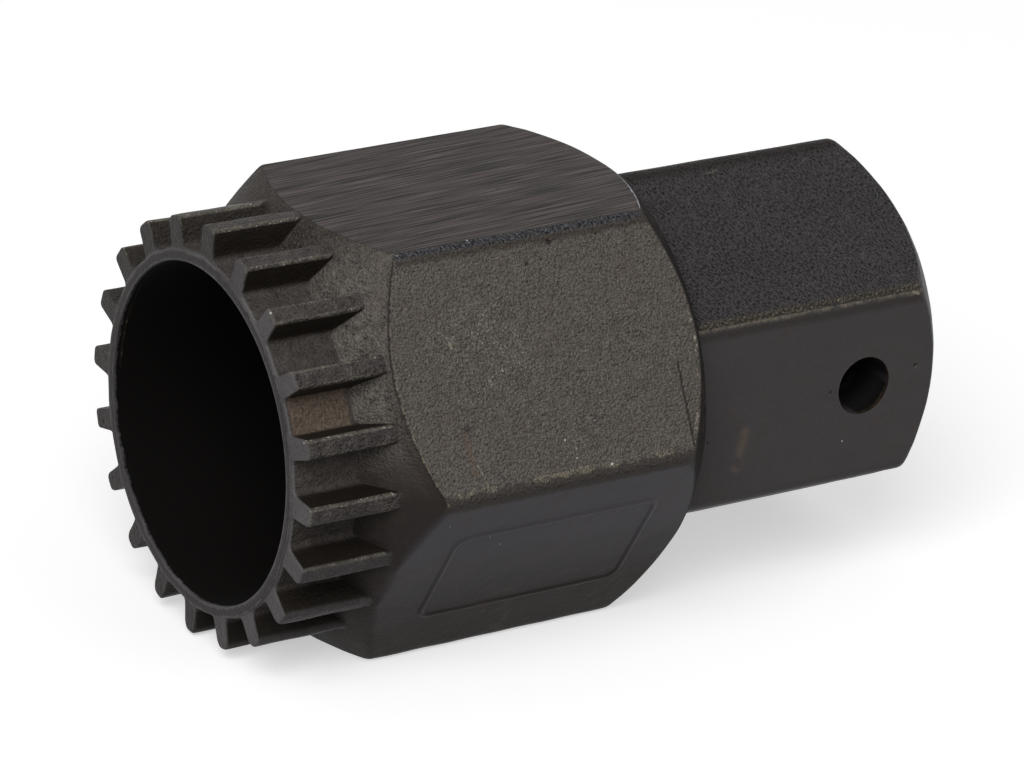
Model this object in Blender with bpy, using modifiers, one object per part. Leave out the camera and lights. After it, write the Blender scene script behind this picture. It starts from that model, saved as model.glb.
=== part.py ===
"""Bottom bracket tool, cast in one piece.

A splined crown drives the bearing cup. Behind it a cone widens into a large hexagon for a
spanner, and a smaller hexagon, turned by half a flat, ends in a square drive socket.
The tool lies on a flat of the large hexagon, with its axis along X and its crown towards -X.
Units are metres, +Z is up, and the origin is under the middle of the tool.
"""

import math

import bmesh
import bpy
from mathutils import Matrix

MM = 0.001

# Overall size
TOOL_LENGTH = 56.1 * MM

# Crown: a thin rim round the bore, and straight splines on the root cylinder
BORE_DIAMETER = 25.0 * MM
RIM_WALL = 0.85 * MM
RIM_HEIGHT = 0.1 * MM
ROOT_WALL = 0.95 * MM
ROOT_LENGTH = 5.3 * MM
SPLINE_COUNT = 20
SPLINE_HEIGHT = 2.4 * MM
SPLINE_TIP_WIDTH = 1.4 * MM
SPLINE_ROOT_WIDTH = 1.7 * MM
SPLINE_TIP_RADIUS = 0.3 * MM
SPLINE_ROOT_RADIUS = 0.35 * MM
SPLINE_LEAD = 0.2 * MM

# Large hexagon, between the crown's cone and the shoulder's cone
SPANNER_FLATS = 32.0 * MM
SPANNER_CORNER_RADIUS = 1.0 * MM
CONE_HALF_ANGLE = math.radians(48.0)
SHOULDER_STATION = 33.3 * MM
SHOULDER_DIAMETER = 30.9 * MM
SHOULDER_HALF_ANGLE = math.radians(45.0)
SPLINE_TRIM = 0.05 * MM

# Small hexagon
DRIVE_FLATS = 25.4 * MM
DRIVE_CORNER_RADIUS = 1.2 * MM
DRIVE_FOOT_RADIUS = 0.6 * MM
END_FACE_DIAMETER = 24.5 * MM
END_HALF_ANGLE = math.radians(49.0)

# Inside: cast bore, narrower core and square socket with its detent hole
BORE_DEPTH = 30.0 * MM
CORE_DIAMETER = 16.0 * MM
CORE_HALF_ANGLE = math.radians(45.0)
SOCKET_SIZE = 9.6 * MM
SOCKET_DEPTH = 14.0 * MM
SOCKET_ENTRY = 0.5 * MM
DETENT_DIAMETER = 4.5 * MM
DETENT_FROM_END = 6.7 * MM

# Fineness of the round forms
TURN_STEPS = 120
ROUNDING_STEPS = 3
HOLE_STEPS = 32

# How far a cutter or a joined body reaches past the face that it works on
OVERRUN = 1.0 * MM
MERGE_DISTANCE = 0.001 * MM
SHARP_ANGLE = math.radians(25.0)
LONG_EDGE_ANGLE = math.radians(50.0)

HEX_SIDES = 6
SOCKET_SIDES = 4
HALF_SIDE_ANGLE = math.pi / HEX_SIDES
AXIS_HEIGHT = SPANNER_FLATS / 2
CROWN_END = -TOOL_LENGTH / 2
ROOT_RADIUS = BORE_DIAMETER / 2 + ROOT_WALL
TIP_RADIUS = ROOT_RADIUS + SPLINE_HEIGHT


def clear_scene():
    """Remove the objects that the file opens with."""
    for item in list(bpy.data.objects):
        bpy.data.objects.remove(item, do_unlink=True)


def new_collection(name):
    """Make a collection in the scene."""
    group = bpy.data.collections.new(name)
    bpy.context.scene.collection.children.link(group)
    return group


def place_on_axis(item, turn=0.0):
    """Lay a form that was made along local Z on the tool's axis, with Z = 0 at the crown's end."""
    item.data.transform(Matrix.Rotation(turn, 4, "Z"))
    item.rotation_euler = (0.0, math.pi / 2, 0.0)
    item.location = (CROWN_END, 0.0, AXIS_HEIGHT)


def mesh_object(name, bm, group):
    """Turn a bmesh into an object of its own."""
    bmesh.ops.recalc_face_normals(bm, faces=bm.faces)
    mesh = bpy.data.meshes.new(name)
    bm.to_mesh(mesh)
    bm.free()
    item = bpy.data.objects.new(name, mesh)
    group.objects.link(item)
    return item


def hide_cutter(item):
    """Show a cutter as wires only."""
    item.hide_render = True
    item.display_type = "WIRE"


def turned_body(name, profile, group):
    """Turn a profile of (station, radius) points, given from the crown's end to the drive end."""
    mesh = bpy.data.meshes.new(name)
    points = [(radius, 0.0, station) for station, radius in reversed(profile)]
    edges = [(index, index + 1) for index in range(len(points) - 1)]
    mesh.from_pydata(points, edges, [])
    item = bpy.data.objects.new(name, mesh)
    group.objects.link(item)
    screw = item.modifiers.new("turn", "SCREW")
    screw.axis = "Z"
    screw.angle = 2 * math.pi
    screw.steps = TURN_STEPS
    screw.render_steps = TURN_STEPS
    screw.use_merge_vertices = True
    screw.merge_threshold = MERGE_DISTANCE
    place_on_axis(item)
    return item


def many_sided_body(name, sides, sections, group, turn=0.0):
    """Solid with flat sides through (station, distance across flats) sections."""
    station, flats = sections[0]
    corner = flats / 2 / math.cos(math.pi / sides)
    bm = bmesh.new()
    bmesh.ops.create_circle(bm, cap_ends=False, segments=sides, radius=corner)
    bmesh.ops.translate(bm, verts=bm.verts, vec=(0.0, 0.0, station))
    rim = list(bm.edges)
    for next_station, next_flats in sections[1:]:
        grown = bmesh.ops.extrude_edge_only(bm, edges=rim)["geom"]
        ring = {element for element in grown if isinstance(element, bmesh.types.BMVert)}
        ratio = next_flats / flats
        bmesh.ops.scale(bm, vec=(ratio, ratio, 1.0), verts=list(ring))
        bmesh.ops.translate(bm, verts=list(ring), vec=(0.0, 0.0, next_station - station))
        rim = [edge for edge in bm.edges if ring.issuperset(edge.verts)]
        station, flats = next_station, next_flats
    bmesh.ops.holes_fill(bm, edges=bm.edges, sides=sides)
    item = mesh_object(name, bm, group)
    place_on_axis(item, turn)
    return item


def hexagon_body(name, sections, corner_radius, group, turn=0.0):
    """Six-sided solid with rounded long edges."""
    item = many_sided_body(name, HEX_SIDES, sections, group, turn)
    rounding = item.modifiers.new("rounded long edges", "BEVEL")
    rounding.width = corner_radius * math.tan(HALF_SIDE_ANGLE)
    rounding.segments = ROUNDING_STEPS
    rounding.limit_method = "ANGLE"
    rounding.angle_limit = LONG_EDGE_ANGLE
    return item


def combine(item, other, operation):
    """Add an exact Boolean modifier."""
    modifier = item.modifiers.new(f"{operation.lower()} {other.name}", "BOOLEAN")
    modifier.operation = operation
    modifier.solver = "EXACT"
    modifier.object = other


def cone_run(radius_change, half_angle):
    """Axial length over which a cone changes its radius by the given amount."""
    return radius_change / math.tan(half_angle)


def arc_points(centre, radius, start, end, steps):
    """Points along an arc, both ends included."""
    points = []
    for index in range(steps + 1):
        angle = start + (end - start) * index / steps
        points.append((centre[0] + radius * math.cos(angle), centre[1] + radius * math.sin(angle)))
    return points


def spline_flank():
    """Half of one spline's outline, tip to root, as (radial, sideways) points.

    The flank is a straight line. A round of its own radius joins it to the tip's flat,
    and a fillet joins it to the root circle.
    """
    tip_half = SPLINE_TIP_WIDTH / 2
    root_half = SPLINE_ROOT_WIDTH / 2
    lean = math.atan2(root_half - tip_half, SPLINE_HEIGHT)
    # the round at the tip touches the tip's flat and the flank
    reach = SPLINE_TIP_RADIUS * math.tan((math.pi / 2 - lean) / 2)
    tip_centre = (TIP_RADIUS - SPLINE_TIP_RADIUS, tip_half - reach)
    points = arc_points(tip_centre, SPLINE_TIP_RADIUS, 0.0, math.pi / 2 - lean, ROUNDING_STEPS)
    # the fillet's centre is a fillet radius from the flank's line and from the root circle
    offset = (root_half + ROOT_RADIUS * math.tan(lean)) * math.cos(lean) + SPLINE_ROOT_RADIUS
    centre_radius = ROOT_RADIUS + SPLINE_ROOT_RADIUS
    centre_angle = math.asin(offset / centre_radius) - lean
    centre = (centre_radius * math.cos(centre_angle), centre_radius * math.sin(centre_angle))
    flank_end = -math.pi / 2 - lean
    root_end = centre_angle - math.pi
    points += arc_points(centre, SPLINE_ROOT_RADIUS, flank_end, root_end, ROUNDING_STEPS)
    return points


def spline_outline():
    """Outline of the whole splined section, as points round the axis, with a spline at the top."""
    half = spline_flank()
    tooth = [(radial, -sideways) for radial, sideways in reversed(half)] + half
    pitch = 2 * math.pi / SPLINE_COUNT
    root_start = math.atan2(half[-1][1], half[-1][0])
    outline = []
    for index in range(SPLINE_COUNT):
        turn = math.pi + index * pitch
        for radial, sideways in tooth:
            outline.append((radial * math.cos(turn) - sideways * math.sin(turn),
                            radial * math.sin(turn) + sideways * math.cos(turn)))
        space_start = turn + root_start
        space_end = turn + pitch - root_start
        outline += arc_points((0.0, 0.0), ROOT_RADIUS, space_start, space_end, ROUNDING_STEPS)[1:-1]
    return outline


def extruded_outline(name, outline, start, end, group):
    """Solid of a flat outline between two stations, made from a filled curve."""
    curve = bpy.data.curves.new(name, "CURVE")
    curve.dimensions = "2D"
    curve.fill_mode = "BOTH"
    curve.extrude = (end - start) / 2
    spline = curve.splines.new("POLY")
    spline.points.add(len(outline) - 1)
    for point, (x, y) in zip(spline.points, outline):
        point.co = (x, y, 0.0, 1.0)
    spline.use_cyclic_u = True
    drawn = bpy.data.objects.new(name + " outline", curve)
    group.objects.link(drawn)
    bpy.context.view_layer.update()
    mesh = bpy.data.meshes.new_from_object(drawn.evaluated_get(bpy.context.evaluated_depsgraph_get()))
    bpy.data.objects.remove(drawn, do_unlink=True)
    bm = bmesh.new()
    bm.from_mesh(mesh)
    bpy.data.meshes.remove(mesh)
    bmesh.ops.remove_doubles(bm, verts=bm.verts, dist=MERGE_DISTANCE)
    bmesh.ops.translate(bm, verts=bm.verts, vec=(0.0, 0.0, (start + end) / 2))
    item = mesh_object(name, bm, group)
    place_on_axis(item)
    return item


def make_blank(group, cutters):
    """Crown core, cone, large hexagon and shoulder: one turned form inside a hexagonal bar."""
    rim_radius = BORE_DIAMETER / 2 + RIM_WALL
    clear_radius = SPANNER_FLATS / 2 / math.cos(HALF_SIDE_ANGLE) + OVERRUN
    cone_start = ROOT_LENGTH - cone_run(ROOT_RADIUS - rim_radius, CONE_HALF_ANGLE)
    cone_end = ROOT_LENGTH + cone_run(clear_radius - ROOT_RADIUS, CONE_HALF_ANGLE)
    rear_start = SHOULDER_STATION - cone_run(clear_radius - SHOULDER_DIAMETER / 2, SHOULDER_HALF_ANGLE)
    profile = [
        (0.0, 0.0),
        (0.0, rim_radius),
        (cone_start, rim_radius),
        (cone_end, clear_radius),
        (rear_start, clear_radius),
        (SHOULDER_STATION, SHOULDER_DIAMETER / 2),
        (SHOULDER_STATION, 0.0),
    ]
    blank = turned_body("tool_body", profile, group)
    bar_sections = [(-OVERRUN, SPANNER_FLATS), (SHOULDER_STATION + OVERRUN, SPANNER_FLATS)]
    bar = hexagon_body("spanner hexagon", bar_sections, SPANNER_CORNER_RADIUS, cutters)
    hide_cutter(bar)
    combine(blank, bar, "INTERSECT")
    return blank


def make_splines(cutters):
    """The ring of splines, with a lead cut on the tips' front corners."""
    end = ROOT_LENGTH + cone_run(SPLINE_HEIGHT, CONE_HALF_ANGLE) + OVERRUN / 2
    ring = extruded_outline("spline ring", spline_outline(), RIM_HEIGHT, end, cutters)
    clear_radius = TIP_RADIUS + OVERRUN
    profile = [
        (RIM_HEIGHT - OVERRUN, 0.0),
        (RIM_HEIGHT - OVERRUN, TIP_RADIUS - SPLINE_LEAD - OVERRUN),
        (RIM_HEIGHT + SPLINE_LEAD + OVERRUN, clear_radius),
        (end + OVERRUN, clear_radius),
        (end + OVERRUN, 0.0),
    ]
    lead = turned_body("spline lead", profile, cutters)
    hide_cutter(lead)
    combine(ring, lead, "INTERSECT")
    hide_cutter(ring)
    return ring


def make_drive_hexagon(cutters):
    """Small hexagon with a fillet at its foot and a turned chamfer at its end."""
    sections = [(SHOULDER_STATION - OVERRUN, DRIVE_FLATS + 2 * DRIVE_FOOT_RADIUS)]
    for index in range(ROUNDING_STEPS + 1):
        angle = math.pi / 2 * index / ROUNDING_STEPS
        station = SHOULDER_STATION + DRIVE_FOOT_RADIUS * (1 - math.cos(angle))
        sections.append((station, DRIVE_FLATS + 2 * DRIVE_FOOT_RADIUS * (1 - math.sin(angle))))
    sections.append((TOOL_LENGTH + OVERRUN, DRIVE_FLATS))
    bar = hexagon_body("drive hexagon", sections, DRIVE_CORNER_RADIUS, cutters, turn=HALF_SIDE_ANGLE)
    clear_radius = DRIVE_FLATS / 2 / math.cos(HALF_SIDE_ANGLE) + DRIVE_FOOT_RADIUS + OVERRUN
    chamfer_start = TOOL_LENGTH - cone_run(clear_radius - END_FACE_DIAMETER / 2, END_HALF_ANGLE)
    profile = [
        (SHOULDER_STATION - 2 * OVERRUN, 0.0),
        (SHOULDER_STATION - 2 * OVERRUN, clear_radius),
        (chamfer_start, clear_radius),
        (TOOL_LENGTH, END_FACE_DIAMETER / 2),
        (TOOL_LENGTH, 0.0),
    ]
    chamfer = turned_body("end chamfer", profile, cutters)
    hide_cutter(chamfer)
    combine(bar, chamfer, "INTERSECT")
    hide_cutter(bar)
    return bar


def make_ground_plane(cutters):
    """Block above the upper flat, which is ground until the spline in front of it is trimmed."""
    size = 2 * TOOL_LENGTH
    bm = bmesh.new()
    bmesh.ops.create_cube(bm, size=size)
    item = mesh_object("ground plane", bm, cutters)
    item.location = (0.0, 0.0, AXIS_HEIGHT + TIP_RADIUS - SPLINE_TRIM + size / 2)
    hide_cutter(item)
    return item


def make_bore(cutters):
    """Cast bore from the crown, narrowing to the core that meets the socket."""
    bore_radius = BORE_DIAMETER / 2
    core_radius = CORE_DIAMETER / 2
    socket_station = TOOL_LENGTH - SOCKET_DEPTH
    profile = [
        (-OVERRUN, 0.0),
        (-OVERRUN, bore_radius),
        (BORE_DEPTH, bore_radius),
        (BORE_DEPTH + cone_run(bore_radius - core_radius, CORE_HALF_ANGLE), core_radius),
        (socket_station, core_radius),
        (socket_station, 0.0),
    ]
    item = turned_body("bore", profile, cutters)
    hide_cutter(item)
    return item


def make_socket(cutters):
    """Square socket with a small flare at its mouth, open to the core."""
    sections = [
        (TOOL_LENGTH - SOCKET_DEPTH - OVERRUN, SOCKET_SIZE),
        (TOOL_LENGTH - SOCKET_ENTRY, SOCKET_SIZE),
        (TOOL_LENGTH + OVERRUN, SOCKET_SIZE + 2 * (SOCKET_ENTRY + OVERRUN)),
    ]
    item = many_sided_body("socket", SOCKET_SIDES, sections, cutters, turn=math.pi / SOCKET_SIDES)
    hide_cutter(item)
    return item


def make_detent_hole(cutters):
    """Hole through the near wall of the small hexagon into the socket."""
    depth = DRIVE_FLATS / 2 + OVERRUN
    bm = bmesh.new()
    bmesh.ops.create_cone(bm, cap_ends=True, segments=HOLE_STEPS, radius1=DETENT_DIAMETER / 2,
                          radius2=DETENT_DIAMETER / 2, depth=depth)
    item = mesh_object("detent hole", bm, cutters)
    item.rotation_euler = (math.pi / 2, 0.0, 0.0)
    item.location = (CROWN_END + TOOL_LENGTH - DETENT_FROM_END, -depth / 2, AXIS_HEIGHT)
    hide_cutter(item)
    return item


def blackened_steel():
    """Oxide-blackened cast steel, worn to a warm dark grey."""
    material = bpy.data.materials.new("blackened_steel")
    material.use_nodes = True
    surface = material.node_tree.nodes["Principled BSDF"]
    surface.inputs["Base Color"].default_value = (0.13, 0.125, 0.12, 1.0)
    surface.inputs["Metallic"].default_value = 0.7
    surface.inputs["Roughness"].default_value = 0.5
    return material


def finish_body(body):
    """Settle the modifiers into the mesh and shade its round forms smooth."""
    bpy.context.view_layer.update()
    mesh = bpy.data.meshes.new_from_object(body.evaluated_get(bpy.context.evaluated_depsgraph_get()))
    body.modifiers.clear()
    rough = body.data
    body.data = mesh
    bpy.data.meshes.remove(rough)
    mesh.name = body.name
    mesh.shade_smooth()
    mesh.set_sharp_from_angle(angle=SHARP_ANGLE)
    mesh.materials.clear()
    mesh.materials.append(blackened_steel())


def build():
    """Build the tool in its own collection, with the forms that shape it in another."""
    clear_scene()
    tool = new_collection("bottom bracket tool")
    cutters = new_collection("shaping forms")
    body = make_blank(tool, cutters)
    combine(body, make_splines(cutters), "UNION")
    combine(body, make_drive_hexagon(cutters), "UNION")
    combine(body, make_ground_plane(cutters), "DIFFERENCE")
    hollow = make_bore(cutters)
    combine(hollow, make_socket(cutters), "UNION")
    combine(hollow, make_detent_hole(cutters), "UNION")
    combine(body, hollow, "DIFFERENCE")
    finish_body(body)


build()
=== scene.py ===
"""Bottom bracket tool: the fine surface of the casting, its finishes, and a plain studio.

The casting is one surface. Its lengthwise profile runs from the bore's mouth over the crown,
the cone, the two hexagons and the end face, and back through the hollow. The profile is worked
out for each direction round the axis, and every corner of it is rounded.
Stations are millimetres from the crown's rim, and directions are angles round the axis,
with 0 towards the viewer's side (-Y) and 90 degrees up.
"""

import logging
import math
from dataclasses import dataclass, field
from enum import Enum
from functools import partial
from typing import Any

import bmesh
import bpy
import numpy as np
from mathutils import Matrix, Vector
from mathutils.kdtree import KDTree


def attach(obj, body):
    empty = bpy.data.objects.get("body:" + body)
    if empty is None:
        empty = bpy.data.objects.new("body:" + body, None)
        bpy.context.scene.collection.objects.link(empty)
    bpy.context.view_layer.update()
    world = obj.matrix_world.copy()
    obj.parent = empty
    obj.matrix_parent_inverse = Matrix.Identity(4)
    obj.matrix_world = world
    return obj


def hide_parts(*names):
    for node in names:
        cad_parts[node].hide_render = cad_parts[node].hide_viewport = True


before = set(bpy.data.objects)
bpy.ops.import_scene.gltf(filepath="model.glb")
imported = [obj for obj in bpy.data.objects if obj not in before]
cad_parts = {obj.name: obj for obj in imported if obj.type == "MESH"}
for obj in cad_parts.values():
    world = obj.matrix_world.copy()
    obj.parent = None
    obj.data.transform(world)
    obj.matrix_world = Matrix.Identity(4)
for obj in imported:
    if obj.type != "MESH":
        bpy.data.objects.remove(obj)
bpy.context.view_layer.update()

LOG = logging.getLogger("bottom_bracket_tool")
MM = 0.001
HEX_SIDES = 6
UP = math.pi / 2

Tint = tuple[float, float, float]
Place = tuple[float, float, float]


class Zone(Enum):
    """Stretches of the lengthwise profile, in their order."""

    MOUTH = 0
    RIM = 1
    STEP = 2
    FACE = 3
    LEAD = 4
    SPLINE = 5
    CONE = 6
    SPANNER = 7
    BACK_CONE = 8
    SHOULDER = 9
    DRIVE = 10
    CHAMFER = 11
    END = 12
    SOCKET = 13
    CORE = 14
    BORE = 15


@dataclass(frozen=True)
class Finish:
    """How one stretch of the casting's skin looks.

    Attributes:
        shade: colour on the screen's scale of 0 to 255.
        grit: strength of the sandy cast grain.
        peel: strength of the wrinkled skin left by the mould.
        brush: strength of the grinding lines.
        rough: roughness of the sheen.
    """

    shade: Tint
    grit: float = 0.0
    peel: float = 0.0
    brush: float = 0.0
    rough: float = 0.5

    def numbers(self) -> np.ndarray:
        """Linear colour, grit, peel, brush and roughness in one row."""
        return np.array([*linear(self.shade), self.grit, self.peel, self.brush, self.rough])


@dataclass(frozen=True)
class CastingFinishes:
    """The finishes of the casting, by place; some also carry painted light and shade."""

    rim: Finish = Finish((47, 44, 43), grit=0.15, rough=0.4)
    crown_face: Finish = Finish((92, 88, 89), grit=0.3, rough=0.5)
    spline_tip: Finish = Finish((66, 62, 60), grit=0.9, rough=0.5)
    # spline_flank: darker unworn oxide, deepened by painted shade in the grooves between the splines
    spline_flank: Finish = Finish((26, 22, 18), grit=0.3, rough=0.6)
    spline_root: Finish = Finish((68, 63, 60), grit=0.6, rough=0.55)
    tip_below: Finish = Finish((68, 65, 65), grit=0.35, rough=0.45)
    face_behind: Finish = Finish((59, 56, 55), grit=0.3, rough=0.45)
    # painted light: flanks of the splines on the far side, lighter where they face the light
    flank_behind: Finish = Finish((48, 44, 40), grit=0.5, rough=0.5)
    # cone_upper and cone_lower differ in grain, and also by painted light above and painted shade below
    cone_upper: Finish = Finish((94, 89, 84), grit=0.9, rough=0.55)
    cone_top: Finish = Finish((60, 55, 51), grit=0.9, rough=0.5)
    # painted shade: the cone's far upper side
    cone_behind: Finish = Finish((50, 44, 40), grit=0.6, rough=0.5)
    cone_lower: Finish = Finish((46, 42, 40), grit=0.12, rough=0.5)
    ground_flat: Finish = Finish((58, 52, 50), grit=0.3, brush=1.0, rough=0.5)
    grainy_flat: Finish = Finish((91, 86, 81), grit=1.0, rough=0.6)
    smooth_flat: Finish = Finish((77, 74, 78), grit=0.08, rough=0.45)
    # painted shade: the dark lower part of the lower near flat and the undersides, towards the floor
    smooth_shaded_foot: Finish = Finish((34, 28, 25), grit=0.08, rough=0.45)
    # painted shade: the recess between the hexagons, where the slope and the shoulder lie in shadow
    shoulder: Finish = Finish((15, 13, 11), grit=0.3, rough=0.8)
    wrinkled_flat: Finish = Finish((75, 72, 73), peel=1.0, rough=0.45)
    plain_flat: Finish = Finish((72, 69, 70), grit=0.12, rough=0.5)
    end_face: Finish = Finish((74, 72, 72), grit=0.2, rough=0.5)
    # near black: the oxide's own colour, darkened further by painted shade of the deep hollow
    hollow: Finish = Finish((11, 9, 8), rough=0.8)


@dataclass
class Corner:
    """One corner of the lengthwise profile, worked out for every direction at once.

    Attributes:
        station: distance from the rim's plane, in millimetres.
        radius: distance from the axis, in millimetres.
        rounding: radius of the corner's own rounding.
        arc: number of steps in the rounding.
        run: number of steps on the straight that follows.
        zone: the zone of the straight that follows.
    """

    station: np.ndarray
    radius: np.ndarray
    rounding: np.ndarray
    arc: int
    run: int
    zone: Zone

    @classmethod
    def at(cls, direction: np.ndarray, station: Any, radius: Any, rounding: Any, *rest: Any) -> "Corner":
        """Make a corner from values that hold for all directions or differ between them.

        Args:
            direction: angles round the axis.
            station: distance from the rim's plane.
            radius: distance from the axis.
            rounding: radius of the corner's own rounding.
            rest: the steps of the rounding, the steps of the straight, and its zone.

        Returns:
            The corner.
        """
        return cls(*(spread(value, direction) for value in (station, radius, rounding)), *rest)


@dataclass
class Sweep:
    """Rows of points that a profile gives, one array entry for each direction.

    Attributes:
        station: distance from the rim's plane, by row and direction.
        radius: distance from the axis, by row and direction.
        before: number of the zone in front of each row.
        after: number of the zone behind each row.
        share: how far a row is from the zone before to the zone after, 0 to 1.
        bend: 1 in the middle of a corner's rounding and 0 on a straight.
    """

    station: np.ndarray
    radius: np.ndarray
    before: np.ndarray
    after: np.ndarray
    share: np.ndarray
    bend: np.ndarray


def linear(shade: Tint) -> Tint:
    """Linear colour of a shade on the screen's scale of 0 to 255."""
    steps = [value / 255 for value in shade]
    return tuple(v / 12.92 if v <= 0.04045 else ((v + 0.055) / 1.055) ** 2.4 for v in steps)


def rise(value: np.ndarray, low: float, high: float) -> np.ndarray:
    """Smooth step from 0 at the low value to 1 at the high one."""
    share = np.clip((value - low) / (high - low), 0.0, 1.0)
    return share * share * (3 - 2 * share)


def spread(value: Any, like: np.ndarray) -> np.ndarray:
    """Array of one value for each direction."""
    return np.broadcast_to(np.asarray(value, float), like.shape).copy()


def sweep(corners: list[Corner]) -> Sweep:
    """Round the corners of a profile and divide its straights.

    Args:
        corners: the profile's corners in order; the first and the last aren't rounded.

    Returns:
        The rows of points along the profile.
    """
    points = [np.stack([corner.station, corner.radius]) for corner in corners]
    starts, ends = [points[0]], [points[0]]
    for index in range(1, len(corners) - 1):
        back = points[index - 1] - points[index]
        ahead = points[index + 1] - points[index]
        back_length = np.maximum(np.hypot(*back), 1e-6)
        ahead_length = np.maximum(np.hypot(*ahead), 1e-6)
        back, ahead = back / back_length, ahead / ahead_length
        opening = np.arccos(np.clip((back * ahead).sum(0), -1.0, 1.0))
        reach = corners[index].rounding / np.maximum(np.tan(opening / 2), 1e-3)
        reach = np.minimum(reach, 0.46 * np.minimum(back_length, ahead_length))
        starts.append(points[index] + back * reach)
        ends.append(points[index] + ahead * reach)
    starts.append(points[-1])
    ends.append(points[-1])

    rows, before, after, share, bend = [], [], [], [], []
    for index, corner in enumerate(corners):
        inner = 0 < index < len(corners) - 1
        steps = corner.arc if inner else 0
        for step in range(steps + 1):
            u = step / steps if steps else 0.5
            rows.append((1 - u) ** 2 * starts[index] + 2 * u * (1 - u) * points[index] + u**2 * ends[index])
            before.append(corners[max(index - 1, 0)].zone.value)
            after.append(corner.zone.value)
            share.append(u if inner else 1.0)
            bend.append(math.sin(math.pi * u) if inner else 0.0)
        if index + 1 == len(corners):
            break
        for step in range(1, corner.run):
            even = step / corner.run
            t = 0.5 * even + 0.25 * (1 - math.cos(math.pi * even))
            rows.append((1 - t) * ends[index] + t * starts[index + 1])
            before.append(corner.zone.value)
            after.append(corner.zone.value)
            share.append(1.0)
            bend.append(0.0)
    grid = np.array(rows)
    return Sweep(grid[:, 0], grid[:, 1], np.array(before), np.array(after), np.array(share), np.array(bend))


def off_flat(direction: np.ndarray, first: float, sides: int) -> np.ndarray:
    """Angle from the middle of the nearest flat of a regular prism.

    Args:
        direction: angles round the axis, in radians.
        first: direction of one flat's middle, in radians.
        sides: number of flats.

    Returns:
        Angles between plus and minus half a side's angle.
    """
    side = 2 * math.pi / sides
    return (direction - first + side / 2) % side - side / 2


def prism_radius(direction: np.ndarray, half: float, first: float, sides: int,
                 rounding: np.ndarray) -> np.ndarray:
    """Distance from the axis to a prism with rounded long edges.

    Args:
        direction: angles round the axis, in radians.
        half: distance from the axis to a flat.
        first: direction of one flat's middle, in radians.
        sides: number of flats.
        rounding: radius of the long edges' rounding, for each direction.

    Returns:
        The distance for each direction.
    """
    side = 2 * math.pi / sides
    off = off_flat(direction, first, sides)
    rounding = np.maximum(rounding, 1e-6)
    centre = (half - rounding) / math.cos(side / 2)
    tangent = np.arctan2((half - rounding) * math.tan(side / 2), half)
    from_corner = side / 2 - np.abs(off)
    inside = np.maximum(rounding**2 - (centre * np.sin(from_corner)) ** 2, 0.0)
    round_part = centre * np.cos(from_corner) + np.sqrt(inside)
    return np.where(np.abs(off) > tangent, round_part, half / np.cos(off))


def ring_faces(base: int, rows: int, count: int) -> list[tuple[int, ...]]:
    """Faces between rings of points that follow each other.

    Args:
        base: number of the first ring's first point.
        rows: number of rings.
        count: number of points in a ring.

    Returns:
        Four-sided faces, ring by ring.
    """
    faces = []
    for low in range(base, base + (rows - 1) * count, count):
        for index in range(count):
            following = (index + 1) % count
            faces.append((low + index, low + following, low + count + following, low + count + index))
    return faces


def solid_object(name: str, points: np.ndarray, faces: list[tuple[int, ...]]) -> bpy.types.Object:
    """Object from points in metres, with its faces turned outwards.

    Args:
        name: the name of the object and its mesh.
        points: one row for each point.
        faces: the points of each face.

    Returns:
        The object, in the scene.
    """
    mesh = bpy.data.meshes.new(name)
    mesh.from_pydata(points.tolist(), [], faces)
    bm = bmesh.new()
    bm.from_mesh(mesh)
    bmesh.ops.recalc_face_normals(bm, faces=bm.faces)
    bm.to_mesh(mesh)
    bm.free()
    item = bpy.data.objects.new(name, mesh)
    bpy.context.scene.collection.objects.link(item)
    return item


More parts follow.
